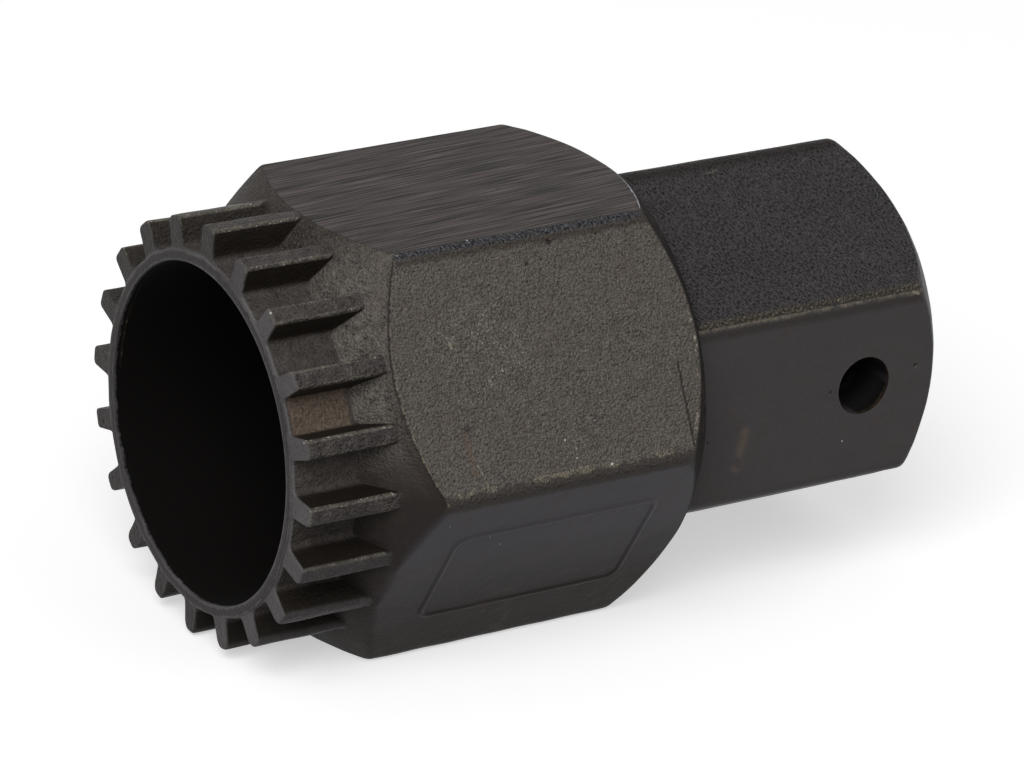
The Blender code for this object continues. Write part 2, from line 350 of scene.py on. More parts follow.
@dataclass
class Crown:
    """Rim and splines at the front of the tool. Sizes are millimetres."""

    bore: float = 12.5
    rim: float = 13.35
    step: float = 0.1
    root: float = 13.45
    tip: float = 15.75
    count: int = 20
    tip_width: float = 1.4
    root_width: float = 1.7
    tip_round: float = 0.32
    root_round: float = 0.5
    low_round: float = 0.34
    lead: float = 0.12
    mouth: float = 2.0
    lip_edge: float = 0.14
    step_edge: float = 0.08
    face_foot: float = 0.05
    face_edge: float = 0.15
    tip_edge: float = 0.2
    spline_foot: float = 0.3
    space_foot: float = 0.1
    ledge: float = 0.03
    clearance: float = 0.02
    cone_station: float = 5.3
    cone_half_angle: float = math.radians(48.0)
    off_centre: tuple[float, float] = (0.15, -0.08)
    fade: float = 2.2

    def half_spline(self) -> np.ndarray:
        """Half of one spline's outline, from the middle of its tip to its root.

        Returns:
            One row for each point, with its distance out from the axis and sideways.
        """
        depth = self.tip - self.root
        lean = math.atan2((self.root_width - self.tip_width) / 2, depth)
        reach = self.tip_round * math.tan((math.pi / 2 - lean) / 2)
        flat = self.tip_width / 2 - reach
        points = [(self.tip, 0.0), (self.tip, flat * 0.5)]
        for step in range(5):
            angle = (math.pi / 2 - lean) * step / 4
            down = self.tip_round * (1 - math.cos(angle))
            points.append((self.tip - down, flat + self.tip_round * math.sin(angle)))
        offset = (self.root_width / 2 + self.root * math.tan(lean)) * math.cos(lean) + self.root_round
        centre_radius = self.root + self.root_round
        centre_angle = math.asin(offset / centre_radius) - lean
        centre = np.array([math.cos(centre_angle), math.sin(centre_angle)]) * centre_radius
        fillet = []
        for step in range(5):
            angle = -math.pi / 2 - lean + (centre_angle - math.pi / 2 + lean) * step / 4
            fillet.append(tuple(centre + self.root_round * np.array([math.cos(angle), math.sin(angle)])))
        top, foot = np.array(points[-1]), np.array(fillet[0])
        points += [tuple(top + (foot - top) * share) for share in (0.25, 0.5, 0.75)]
        return np.array(points + fillet)

    def columns(self) -> tuple[np.ndarray, np.ndarray]:
        """Directions of the outline's points within half a pitch.

        Returns:
            The fine directions, and those among them that carry on over the hexagons.
        """
        outline = self.half_spline()
        fine = np.arctan2(outline[:, 1], outline[:, 0])
        half_pitch = math.pi / self.count
        space = np.linspace(fine[-1], half_pitch, 7)[1:]
        everywhere = np.concatenate([fine[[0, 4, -1]], space[1::2]])
        return np.concatenate([fine, space]), everywhere

    def outline_radius(self, direction: np.ndarray) -> np.ndarray:
        """Distance from the axis to the splined outline.

        Args:
            direction: angles round the axis.

        Returns:
            The distance for each direction. The tips of the lower splines are rounder.
        """
        outline = self.half_spline()
        off = np.abs(off_flat(direction, UP, self.count))
        angles = np.append(np.arctan2(outline[:, 1], outline[:, 0]), math.pi / self.count)
        radius = np.interp(off, angles, np.append(np.hypot(outline[:, 0], outline[:, 1]), self.root))
        sideways = np.clip((self.tip * off - 0.2) / 0.5, 0.0, 1.0)
        softer = self.low_round * rise(-np.sin(direction), 0.3, 0.8) * sideways ** 2
        return radius - softer * rise(radius, self.root + 0.2, self.root + 1.4)

    def shares(self, direction: np.ndarray) -> dict[str, np.ndarray]:
        """How far each direction belongs to a spline's tip, its tip edges, its flanks and the root.

        Args:
            direction: angles round the axis.

        Returns:
            One array of 0 to 1 for each of "tip", "edge", "flank" and "root".
        """
        outline = self.half_spline()
        off = np.abs(off_flat(direction, UP, self.count))
        place = np.interp(off, np.arctan2(outline[:, 1], outline[:, 0]), np.arange(len(outline)))
        tip = 1.0 - rise(place, 3.0, 5.5)
        root = rise(place, 9.5, 12.5)
        edge = rise(place, 1.6, 3.6) * (1.0 - rise(place, 4.6, 7.0))
        return {"tip": tip, "edge": edge, "flank": (1.0 - tip) * (1.0 - root), "root": root}

    def cone_at(self, radius: np.ndarray) -> np.ndarray:
        """Station at which the cone behind the crown has a radius."""
        return self.cone_station + (radius - self.root) / math.tan(self.cone_half_angle)

    def shift(self, station: np.ndarray) -> tuple[np.ndarray, np.ndarray]:
        """How far the crown, which was cast slightly off centre, stands from the axis.

        Args:
            station: distance from the rim's plane.

        Returns:
            The shift away from the viewer's side and the shift upwards, which fade along the cone.
        """
        share = np.clip((self.cone_station + self.fade - station) / self.fade, 0.0, 1.0)
        return self.off_centre[0] * share, self.off_centre[1] * share

    def corners(self, direction: np.ndarray, limit: np.ndarray) -> list[Corner]:
        """Profile from inside the bore's mouth to the foot of the cone.

        Args:
            direction: angles round the axis.
            limit: radius of the large hexagon, which the splines stay under.

        Returns:
            The corners in order.
        """
        outline = np.minimum(self.outline_radius(direction), limit - self.clearance)
        face = np.maximum(outline - self.lead, self.rim + self.ledge)
        meet = self.cone_at(outline)
        full = self.cone_at(limit)
        foot = np.where(outline > self.root + self.spline_foot, self.spline_foot, self.space_foot)
        at = partial(Corner.at, direction)
        return [
            at(self.mouth, self.bore, 0.0, 0, 2, Zone.MOUTH),
            at(0.0, self.bore, self.lip_edge, 4, 2, Zone.RIM),
            at(0.0, self.rim - self.ledge, self.step_edge, 3, 1, Zone.STEP),
            at(self.step, self.rim + self.clearance, self.face_foot, 2, 5, Zone.FACE),
            at(self.step, face, self.face_edge, 3, 1, Zone.LEAD),
            at(self.step + self.lead, outline, self.tip_edge, 3, 12, Zone.SPLINE),
            at(meet, outline, foot, 4, 2, Zone.CONE),
            at(meet + 0.3 * (full - meet), outline + 0.3 * (limit - outline), 0.0, 0, 1, Zone.CONE),
        ]


@dataclass
class SpannerHexagon:
    """Large hexagon between the cone and the shoulder. Sizes are millimetres."""

    half: float = 16.0
    long_edge: float = 1.0
    upper_edge: float = 1.4
    ground: float = 15.8
    shoulder_station: float = 33.3
    shoulder_radius: float = 15.45
    front_edge: float = 0.35
    soft_edge: float = 1.1
    ground_edge: float = 0.08
    back_edge: float = 0.35
    shoulder_edge: float = 0.25
    end_wear: float = 0.9

    def radius(self, direction: np.ndarray) -> np.ndarray:
        """Distance from the axis to the hexagon, with its upper flat ground down.

        Args:
            direction: angles round the axis.

        Returns:
            The distance for each direction.
        """
        beside_top = np.abs(off_flat(direction, UP, 1)) < math.radians(40.0)
        rounding = np.where(beside_top, self.upper_edge, self.long_edge)
        cast = prism_radius(direction, self.half, UP, HEX_SIDES, rounding)
        up = np.sin(direction)
        plane = np.where(up > 0.5, self.ground / np.maximum(up, 0.5), np.inf)
        return np.minimum(cast, plane)

    def back_station(self, radius: np.ndarray) -> np.ndarray:
        """Station at which the slope in front of the shoulder has a radius."""
        return self.shoulder_station - (radius - self.shoulder_radius)

    def front_rounding(self, direction: np.ndarray) -> np.ndarray:
        """Rounding of the flats' front edges.

        Args:
            direction: angles round the axis.

        Returns:
            Its radius for each direction: small on the ground flat, large on the lower near one.
        """
        off_low = np.abs(off_flat(direction, math.radians(-30.0), 1))
        off_top = np.abs(off_flat(direction, UP, 1))
        low = np.clip((math.radians(32.0) - off_low) / math.radians(5.0), 0.0, 1.0)
        rounding = self.front_edge + (self.soft_edge - self.front_edge) * low
        return np.where(off_top < math.radians(28.0), self.ground_edge, rounding)

    def back_rounding(self, direction: np.ndarray) -> np.ndarray:
        """Rounding of the flats' rear edges, which is larger where the long edges end."""
        off = np.abs(off_flat(direction, UP, HEX_SIDES))
        return self.back_edge + self.end_wear * rise(off, math.radians(25.0), math.radians(29.0))


@dataclass
class DriveHexagon:
    """Small hexagon behind the shoulder. Sizes are millimetres."""

    half: float = 12.7
    long_edge: float = 1.2
    foot: float = 0.6
    end_station: float = 56.1
    end_radius: float = 12.25
    end_half_angle: float = math.radians(49.0)
    chamfer_edge: float = 0.35
    end_edge: float = 0.25
    end_wear: float = 0.9

    def radius(self, direction: np.ndarray) -> np.ndarray:
        """Distance from the axis to the small hexagon."""
        return prism_radius(direction, self.half, 0.0, HEX_SIDES, spread(self.long_edge, direction))

    def chamfer_station(self, radius: np.ndarray) -> np.ndarray:
        """Station at which the end chamfer has a radius."""
        return self.end_station - (radius - self.end_radius) / math.tan(self.end_half_angle)

    def chamfer_rounding(self, direction: np.ndarray) -> np.ndarray:
        """Rounding of the end chamfer's outer edge, which is larger where the long edges end."""
        off = np.abs(off_flat(direction, 0.0, HEX_SIDES))
        return self.chamfer_edge + self.end_wear * rise(off, math.radians(22.0), math.radians(28.0))


@dataclass
class Hollow:
    """Bore, core, square socket and cross hole inside the tool. Sizes are millimetres."""

    bore_depth: float = 30.0
    core: float = 8.0
    socket_half: float = 4.8
    socket_station: float = 42.1
    entry: float = 0.5
    hole_station: float = 49.4
    hole_height: float = 0.1
    hole_radius: float = 2.25
    hole_waves: tuple[tuple[int, float, float], ...] = ((3, 0.012, 0.6), (7, 0.008, 2.0))
    bore_end: float = 4.0
    entry_edge: float = 0.06
    square_edge: float = 0.05
    core_edge: float = 0.4

    def square(self, direction: np.ndarray, half: float) -> np.ndarray:
        """Distance from the axis to a square with its flats level and upright."""
        return prism_radius(direction, half, 0.0, 4, spread(self.square_edge, direction))


@dataclass
class Skin:
    """Numbers that each point of the surface carries for its finish.

    Attributes:
        look: a finish's numbers, blended, one row for each point.
        parts: how far a point belongs to the crown, the large and the small hexagon.
        gaps: millimetres behind the large hexagon's front edge and behind its rear edge.
        rubbed: speckled wear and edge highlights, share of the rim's width, and whether a point lies inside
            the tool.
    """

    look: np.ndarray
    parts: np.ndarray
    gaps: np.ndarray
    rubbed: np.ndarray

    def join(self, other: "Skin") -> "Skin":
        """This skin followed by another."""
        pairs = ((self.look, other.look), (self.parts, other.parts), (self.gaps, other.gaps),
                 (self.rubbed, other.rubbed))
        return Skin(*(np.concatenate(pair) for pair in pairs))

    def write(self, mesh: bpy.types.Mesh, order: np.ndarray) -> None:
        """Store the numbers on a mesh.

        Args:
            mesh: the mesh that gets the attributes.
            order: for each of the mesh's points, its row in this skin.
        """
        shade, relief, rough = np.split(self.look, (3, 6), 1)
        stored = {"shade": shade, "relief": relief, "parts": self.parts, "rubbed": self.rubbed,
                  "gaps_and_rough": np.hstack([self.gaps, rough])}
        for name, numbers in stored.items():
            layer = mesh.attributes.new(name, "FLOAT_VECTOR", "POINT")
            layer.data.foreach_set("vector", np.ascontiguousarray(numbers[order], dtype=np.float32).ravel())


@dataclass
class ToolBody:
    """The whole casting as one surface, built from its parts' profiles.

    Attributes:
        crown: the rim and the splines.
        spanner: the large hexagon.
        drive: the small hexagon.
        hollow: the spaces inside.
        finishes: the finish of each place.
        edge_reaches: half the angle of the long edges' rounding, in degrees, on the large
            hexagon, on its two upper edges and on the small hexagon.
        waves: number of waves that make the cast surface uneven.
        wave_height: height of the waves behind the crown, in millimetres.
        crown_wave_height: their height on the crown.
        proud_spline: how far the top spline stands out more than the rest.
        ground_tilt: slope of the ground flat along the tool and across it.
        reach: how far away an edge is still told, in millimetres.
        sharp_angle: angle between faces from which an edge is drawn sharp.
        name: the piece's name.
    """

    crown: Crown = field(default_factory=Crown)
    spanner: SpannerHexagon = field(default_factory=SpannerHexagon)
    drive: DriveHexagon = field(default_factory=DriveHexagon)
    hollow: Hollow = field(default_factory=Hollow)
    finishes: CastingFinishes = field(default_factory=CastingFinishes)
    edge_reaches: tuple[float, float, float] = (1.58, 2.22, 2.4)
    waves: int = 14
    wave_height: float = 0.012
    crown_wave_height: float = 0.032
    proud_spline: float = 0.12
    ground_tilt: tuple[float, float] = (0.006, 0.1)
    reach: float = 3.0
    sharp_angle: float = math.radians(33.0)
    name: str = "tool_casting"

    def directions(self) -> tuple[np.ndarray, np.ndarray]:
        """Directions of the surface's columns.

        Returns:
            All directions in rising order, and the places in that list of those that
            carry on over the hexagons and through the hollow.
        """
        fine, everywhere = self.crown.columns()
        pitch = 2 * math.pi / self.crown.count
        large_reach, upper_reach, small_reach = self.edge_reaches
        edges = []
        for index in range(2 * HEX_SIDES):
            reach = small_reach if index % 2 else upper_reach if index in (2, 4) else large_reach
            offsets = np.array([-reach - 0.5, *np.linspace(-reach, reach, 7), reach + 0.5])
            edges += list(np.radians(30.0 * index + offsets))
        edges = np.array(edges) % (2 * math.pi)

        def round_axis(part: np.ndarray) -> np.ndarray:
            """Repeat half a pitch's directions round the whole axis.

            Args:
                part: directions from the middle of a spline to the middle of a space.

            Returns:
                All directions in rising order.
            """
            both = np.unique(np.round(np.concatenate([part, -part]), 9))
            turns = UP + np.arange(self.crown.count) * pitch
            return np.unique(np.round((turns[:, None] + both[None, :]).ravel() % (2 * math.pi), 7))

        kept = round_axis(everywhere)
        gap = np.abs(off_flat(kept[:, None] - edges[None, :], 0.0, 1)).min(1)
        kept = np.unique(np.round(np.concatenate([kept[gap > math.radians(0.3)], edges]), 7))
        every = np.unique(np.round(np.concatenate([round_axis(fine), kept]), 7))
        close = np.append(np.diff(every) < 2e-5, False)
        every = every[~close | np.isin(every, kept)]
        return every, np.searchsorted(every, kept)

    def outer_corners(self, direction: np.ndarray) -> list[Corner]:
        """Profile from the foot of the cone to the inside of the bore.

        Args:
            direction: angles round the axis.

        Returns:
            The corners in order.
        """
        crown, spanner, drive, hollow = self.crown, self.spanner, self.drive, self.hollow
        large, small = spanner.radius(direction), drive.radius(direction)
        outline = np.minimum(crown.outline_radius(direction), large - crown.clearance)
        meet, full = crown.cone_at(outline), crown.cone_at(large)
        back = spanner.back_station(large)
        chamfer = drive.chamfer_station(small)
        mouth = hollow.square(direction, hollow.socket_half + hollow.entry)
        socket = hollow.square(direction, hollow.socket_half)
        core_start = hollow.bore_depth + crown.bore - hollow.core
        at = partial(Corner.at, direction)
        return [
            at(meet + 0.36 * (full - meet), outline + 0.36 * (large - outline), 0.0, 0, 6, Zone.CONE),
            at(full, large, spanner.front_rounding(direction), 6, 32, Zone.SPANNER),
            at(back, large, spanner.back_rounding(direction), 5, 5, Zone.BACK_CONE),
            at(spanner.shoulder_station, spanner.shoulder_radius, spanner.shoulder_edge, 4, 6, Zone.SHOULDER),
            at(spanner.shoulder_station, small, drive.foot, 5, 30, Zone.DRIVE),
            at(chamfer, small, drive.chamfer_rounding(direction), 6, 5, Zone.CHAMFER),
            at(drive.end_station, drive.end_radius, drive.end_edge, 4, 8, Zone.END),
            at(drive.end_station, mouth, hollow.entry_edge, 2, 1, Zone.SOCKET),
            at(drive.end_station - hollow.entry, socket, hollow.square_edge, 2, 4, Zone.SOCKET),
            at(hollow.socket_station, socket, hollow.square_edge, 1, 1, Zone.CORE),
            at(hollow.socket_station, hollow.core, hollow.square_edge, 1, 2, Zone.CORE),
            at(core_start, hollow.core, hollow.core_edge, 1, 3, Zone.CORE),
            at(hollow.bore_depth, crown.bore, hollow.core_edge, 1, 5, Zone.BORE),
            at(hollow.bore_end, crown.bore, 0.0, 0, 1, Zone.BORE),
        ]

    def looks(self, direction: np.ndarray) -> dict[int, np.ndarray]:
        """The finish of every zone for each direction, with painted light and shade on some of them.

        Args:
            direction: angles round the axis.

        Returns:
            For each zone's number, one row of a finish's numbers for each direction.
        """
        kinds = self.finishes

        def plain(kind: Finish) -> np.ndarray:
            """One finish for all directions."""
            return np.tile(kind.numbers(), (len(direction), 1))

        def blend(first: np.ndarray, second: np.ndarray, share: np.ndarray) -> np.ndarray:
            """From the first finish to the second."""
            return first * (1 - share[:, None]) + second * share[:, None]

        lift = np.degrees(np.arcsin(np.clip(np.sin(direction), -1.0, 1.0)))
        # the lower near flat darkens downwards with painted shade
        low = blend(plain(kinds.smooth_flat), plain(kinds.smooth_shaded_foot), rise(-lift, 14.0, 52.0))
        spanner = blend(low, plain(kinds.grainy_flat), rise(lift, -0.8, 0.8))
        spanner = blend(spanner, plain(kinds.ground_flat), rise(lift, 59.7, 60.3))
        # the cone goes from painted shade low down to painted light higher up
        cone = blend(plain(kinds.cone_lower), plain(kinds.cone_upper), rise(lift, -2.0, 24.0))
        cone = blend(cone, plain(kinds.cone_top), rise(lift, 56.0, 82.0))
        # painted shade on the far upper side of the cone
        far_side = rise(-np.cos(direction), 0.0, 0.35) * rise(lift, 35.0, 55.0)
        cone = blend(cone, plain(kinds.cone_behind), far_side)
        drive = blend(plain(kinds.plain_flat), plain(kinds.wrinkled_flat), rise(lift, 29.2, 30.8))
        # painted shade on the small hexagon's flats that face downwards
        drive = blend(plain(kinds.smooth_shaded_foot), drive, rise(lift, -31.0, -29.4))
        shares = self.crown.shares(direction)
        behind = rise(-np.cos(direction), 0.08, 0.28)
        tip = blend(plain(kinds.spline_tip), plain(kinds.tip_below), rise(-lift, 5.0, 25.0))
        face = blend(plain(kinds.crown_face), plain(kinds.face_behind), rise(-np.cos(direction), -0.5, 0.0))
        # flanks on the far side get painted light
        flank = blend(plain(kinds.spline_flank), plain(kinds.flank_behind), behind)
        spline = tip * shares["tip"][:, None]
        spline += flank * shares["flank"][:, None]
        spline += plain(kinds.spline_root) * shares["root"][:, None]
        looks = {zone.value: plain(kinds.hollow) for zone in Zone}
        # the slope and the shoulder behind the large hexagon take the painted shade of the shoulder finish
        looks |= {Zone.RIM.value: plain(kinds.rim), Zone.STEP.value: plain(kinds.rim),
                  Zone.FACE.value: face, Zone.LEAD.value: face,
                  Zone.SPLINE.value: spline, Zone.CONE.value: cone, Zone.SPANNER.value: spanner,
                  Zone.BACK_CONE.value: plain(kinds.shoulder), Zone.SHOULDER.value: plain(kinds.shoulder),
                  Zone.DRIVE.value: drive, Zone.CHAMFER.value: plain(kinds.end_face),
                  Zone.END.value: plain(kinds.end_face)}
        return looks

    def skin(self, rows: Sweep, direction: np.ndarray) -> Skin:
        """Work out what each point of a sweep carries for its finish.

        Args:
            rows: the points, by row and direction.
            direction: angles round the axis.

        Returns:
            The numbers, with the points in the order of the rows.
        """
        looks = self.looks(direction)
        share = rows.share[:, None, None]
        before = np.array([looks[zone] for zone in rows.before])
        after = np.array([looks[zone] for zone in rows.after])
        look = (1 - share) * before + share * after

        front = {Zone.MOUTH, Zone.RIM, Zone.STEP, Zone.FACE, Zone.LEAD, Zone.SPLINE}
        groups = [{zone.value for zone in front}, {Zone.SPANNER.value}, {Zone.DRIVE.value}]
        parts = []
        for group in groups:
            was = np.isin(rows.before, list(group)).astype(float)
            now = np.isin(rows.after, list(group)).astype(float)
            parts.append(np.repeat(((1 - rows.share) * was + rows.share * now)[:, None], len(direction), 1))

        large = self.spanner.radius(direction)
        gaps = []
        inner = [Zone.MOUTH.value, Zone.SOCKET.value, Zone.CORE.value, Zone.BORE.value]
        inside = np.isin(rows.after, inner)
        for station in (self.crown.cone_at(large), self.spanner.back_station(large)):
            far = np.hypot(rows.station - station, rows.radius - large)
            far = np.where(inside[:, None], self.reach, far)
            behind = (rows.station >= station) | inside[:, None]
            gaps.append(np.clip(np.where(behind, far, -far), -self.reach, self.reach))

        speckled = {Zone.LEAD.value: 0.8, Zone.SPLINE.value: 1.0, Zone.CHAMFER.value: 0.5}
        shares = self.crown.shares(direction)
        proud = rise(self.crown.outline_radius(direction), self.crown.root + 0.4, self.crown.tip - 0.4)
        on_spline = (rows.after == Zone.SPLINE.value).astype(float)
        spots = rows.bend * np.array([speckled.get(zone, 0.0) for zone in rows.after])
        spots = np.where(on_spline[:, None] > 0, spots[:, None] * proud, spots[:, None])
        spots = np.maximum(spots, on_spline[:, None] * shares["edge"][None, :])
        spots = spots * (1.0 - 0.55 * rise(-np.sin(direction), 0.1, 0.45))
        across = (rows.radius - self.crown.bore) / (self.crown.rim - self.crown.bore)
        across = np.where(rows.station < 0.3, across, np.where(inside[:, None], -1.0, self.reach))
        rubbed = [spots, np.clip(across, -1.0, self.reach), inside[:, None] * np.ones_like(across)]
        flat = [np.stack(numbers, 2).reshape(-1, len(numbers)) for numbers in (parts, gaps, rubbed)]
        return Skin(look.reshape(-1, look.shape[2]), *flat)

    def unevenness(self, station: np.ndarray, direction: np.ndarray) -> np.ndarray:
        """How far the cast skin stands out from its true shape, in millimetres.

        Args:
            station: distance from the rim's plane.
            direction: angles round the axis.

        Returns:
            A few hundredths of a millimetre either way, the ground flat's slight tilt,
            and the prouder spline at the very top.
        """
        chance = np.random.default_rng(11)
        total = np.zeros_like(station)
        for _ in range(self.waves):
            along = chance.uniform(-1.6, 1.6)
            around = int(chance.integers(3, 46))
            total += np.sin(along * station + around * direction + chance.uniform(0, 6.3)) / self.waves**0.5
        crown = 1.0 - rise(station, 5.0, 9.0)
        ground = rise(np.sin(direction), 0.84, 0.875) * (1.0 - crown) * (1.0 - rise(station, 32.5, 33.5))
        inside = rise(station, -0.5, 0.3)
        slope = self.ground_tilt[0] * (station - 15.0) - self.ground_tilt[1] * np.cos(direction)
        upper_spline = self.proud_spline * rise(np.sin(direction), 0.9955, 0.9985) * crown * inside
        height = self.wave_height + (self.crown_wave_height - self.wave_height) * crown
        return total * height * (1.0 - ground) * inside + slope * ground + upper_spline

    def build(self) -> bpy.types.Object:
        """Make the surface, with its rows closed into one skin.

        Returns:
            The casting's object, without its finish.
        """
        direction, kept = self.directions()
        front = sweep(self.crown.corners(direction, self.spanner.radius(direction)))
        rest = sweep(self.outer_corners(direction[kept]))
        fine, coarse = len(direction), len(kept)
        front_rows, rest_rows = len(front.station), len(rest.station)

        turns = np.concatenate([np.tile(direction, front_rows), np.tile(direction[kept], rest_rows)])
        station = np.concatenate([front.station.ravel(), rest.station.ravel()])
        radius = np.concatenate([front.radius.ravel(), rest.radius.ravel()])
        outside = np.concatenate([np.repeat(front.after, fine), np.repeat(rest.after, coarse)])
        skinned = (outside > Zone.RIM.value) & (outside < Zone.SOCKET.value)
        radius = radius + np.where(skinned, self.unevenness(station, turns), 0.0)
        points = self.place(station, turns, radius)
        skin = self.skin(front, direction).join(self.skin(rest, direction[kept]))

        base = front_rows * fine
        faces = ring_faces(0, front_rows, fine) + ring_faces(base, rest_rows, coarse)
        faces += self.seam(kept, fine, (front_rows - 1) * fine, base)
        faces += self.seam(kept, fine, 0, base + (rest_rows - 1) * coarse)

        item = solid_object(self.name, points, faces)
        self.drill(item)
        tree = KDTree(len(points))
        for number, point in enumerate(points):
            tree.insert(point, number)
        tree.balance()
        order = np.array([tree.find(vertex.co)[1] for vertex in item.data.vertices])
        skin.write(item.data, order)
        item.data.shade_smooth()
        item.data.set_sharp_from_angle(angle=self.sharp_angle)
        return item

    def seam(self, kept: np.ndarray, fine: int, fine_start: int, coarse_start: int) -> list[tuple[int, ...]]:
        """Faces that join a fine row to a coarse one.

        Args:
            kept: places of the coarse row's directions in the fine row.
            fine: number of points in the fine row.
            fine_start: number of the fine row's first point.
            coarse_start: number of the coarse row's first point.

        Returns:
            One face for each step of the coarse row.
        """
        faces = []
        for index in range(len(kept)):
            following = (index + 1) % len(kept)
            last = kept[following] + (fine if following == 0 else 0)
            fine_part = [int(fine_start + place % fine) for place in range(last, kept[index] - 1, -1)]
            faces.append((coarse_start + index, coarse_start + following, *fine_part))
        return faces

    def place(self, station: np.ndarray, direction: np.ndarray, radius: np.ndarray) -> np.ndarray:
        """Points in the part's frame, in metres.

        Args:
            station: distance from the rim's plane.
            direction: angles round the axis.
            radius: distance from the axis.

        Returns:
            One row for each point.
        """
        away, upwards = self.crown.shift(station)
        along = station - self.drive.end_station / 2
        across = away - radius * np.cos(direction)
        height = upwards + radius * np.sin(direction) + self.spanner.half
        return np.stack([along, across, height], 1) * MM

    def drill(self, item: bpy.types.Object) -> None:
        """Cut the round hole for the drive's ball through the near flat of the small hexagon.

        Args:
            item: the casting, which is changed in place.
        """
        hollow = self.hollow
        bm = bmesh.new()
        depth = self.drive.half + 1.0
        bmesh.ops.create_cone(bm, cap_ends=True, segments=64, radius1=hollow.hole_radius * MM,
                              radius2=hollow.hole_radius * MM, depth=depth * MM)
        for vertex in bm.verts:
            angle = math.atan2(vertex.co.y, vertex.co.x)
            waves = (size * math.sin(count * angle + start) for count, size, start in hollow.hole_waves)
            vertex.co.xy *= 1.0 + sum(waves)
        bmesh.ops.rotate(bm, verts=bm.verts, cent=(0, 0, 0), matrix=Matrix.Rotation(math.pi / 2, 3, "X"))
        along = hollow.hole_station - self.drive.end_station / 2
        centre = Vector((along, -depth / 2, self.spanner.half + hollow.hole_height)) * MM
        bmesh.ops.translate(bm, verts=bm.verts, vec=centre)
        mesh = bpy.data.meshes.new("hole")
        bm.to_mesh(mesh)
        bm.free()
        cutter = bpy.data.objects.new("hole", mesh)
        bpy.context.scene.collection.objects.link(cutter)
        modifier = item.modifiers.new("hole", "BOOLEAN")
        modifier.object = cutter
        modifier.solver = "EXACT"
        bpy.context.view_layer.update()
        cut = bpy.data.meshes.new_from_object(item.evaluated_get(bpy.context.evaluated_depsgraph_get()))
        item.modifiers.clear()
        item.data = cut
        bpy.data.objects.remove(cutter, do_unlink=True)


@dataclass
class PlainFrame:
    """Low empty frame cast on the lower near flat of the large hexagon. Sizes are millimetres."""

    front: float = 12.0
    rear: float = 28.9
    low: float = -4.4
    high: float = 5.0
    corner: float = 1.0
    width: float = 0.8
    height: float = 0.14
    sunk: float = 0.03
    flat_direction: float = math.radians(-30.0)
    name: str = "plain_frame"

    def path(self) -> list[tuple[float, float, float]]:
        """Centre line of the frame.

        Returns:
            Station, distance up the flat from its middle, and outward angle, round the frame.
        """
        front, rear = self.front + self.corner, self.rear - self.corner
        low, high = self.low + self.corner, self.high - self.corner
        points = []
        for turn, (station, up) in enumerate(((rear, high), (front, high), (front, low), (rear, low))):
            for step in range(7):
                angle = math.pi / 2 * (turn + step / 6)
                along, upwards = self.corner * math.cos(angle), self.corner * math.sin(angle)
                points.append((station + along, up + upwards, angle))
        return points

    def build(self, body: ToolBody) -> bpy.types.Object:
        """Make the frame.

        Args:
            body: the casting that carries it.

        Returns:
            The frame's object, with the casting's numbers for its finish.
        """
        path = self.path()
        offsets = np.linspace(-self.width / 2, self.width / 2, 9)
        heights = self.height * np.cos(math.pi * offsets / self.width) ** 2 - self.sunk
        tilt = self.flat_direction
        points = []
        for station, up, angle in path:
            for offset, height in zip(offsets, heights):
                along = station + offset * math.cos(angle)
                rise_up = up + offset * math.sin(angle)
                out = body.spanner.half + height
                away = -out * math.cos(tilt) + rise_up * math.sin(tilt)
                above = out * math.sin(tilt) + rise_up * math.cos(tilt)
                points.append((along - body.drive.end_station / 2, away, above + body.spanner.half))
        count, total = len(offsets), len(points)
        faces = ring_faces(0, len(path) + 1, count)
        faces = [tuple(number % total for number in face) for face in faces]
        placed = np.array(points)
        item = solid_object(self.name, placed * MM, faces)
        turns = np.arctan2(placed[:, 2] - body.spanner.half, -placed[:, 1])
        look = body.looks(turns)[Zone.SPANNER.value]
        parts, gaps, rubbed = (0.0, 1.0, 0.0), (body.reach, body.reach), (0.0, body.reach, 0.0)
        skin = Skin(look, *(np.tile(numbers, (total, 1)) for numbers in (parts, gaps, rubbed)))
        skin.write(item.data, np.arange(total))
        item.data.shade_smooth()
        return item


@dataclass
class PhotoCamera:
    """The camera that took the photograph. Sizes are millimetres and degrees."""

    azimuth: float = -33.931
    elevation: float = 23.441
    roll: float = 4.069
    right: float = 22.278
    up: float = 3.532
    distance: float = 375.101
    focal_pixels: float = 5265.24
    image_width: int = 1024
    sensor_width: float = 36.0
    origin_station: float = 0.1

    def build(self, body: ToolBody) -> bpy.types.Object:
        """Make the camera and give it to the scene.

        Args:
            body: the tool, whose rim and axis the camera was measured from.

        Returns:
            The camera.
        """
        azimuth, elevation, roll = (math.radians(v) for v in (self.azimuth, self.elevation, self.roll))
        level = Vector((math.cos(azimuth), math.sin(azimuth), 0.0))
        towards = Vector((math.sin(azimuth), -math.cos(azimuth), 0.0))
        back = towards * math.cos(elevation) + Vector((0.0, 0.0, math.sin(elevation)))
        upright = back.cross(level)
        right = math.cos(roll) * level + math.sin(roll) * upright
        up = -math.sin(roll) * level + math.cos(roll) * upright
        place = right * self.right + up * self.up + back * self.distance
        place += Vector((self.origin_station - body.drive.end_station / 2, 0.0, body.spanner.half))
        data = bpy.data.cameras.new("photo_camera")
        data.sensor_width = self.sensor_width
        data.lens = self.focal_pixels / self.image_width * data.sensor_width
        data.clip_start = 0.01
        item = bpy.data.objects.new("photo_camera", data)
        turn = Matrix((right, up, back)).transposed().to_4x4()
        item.matrix_world = Matrix.Translation(place * MM) @ turn
        bpy.context.scene.collection.objects.link(item)
        bpy.context.scene.camera = item
        return item


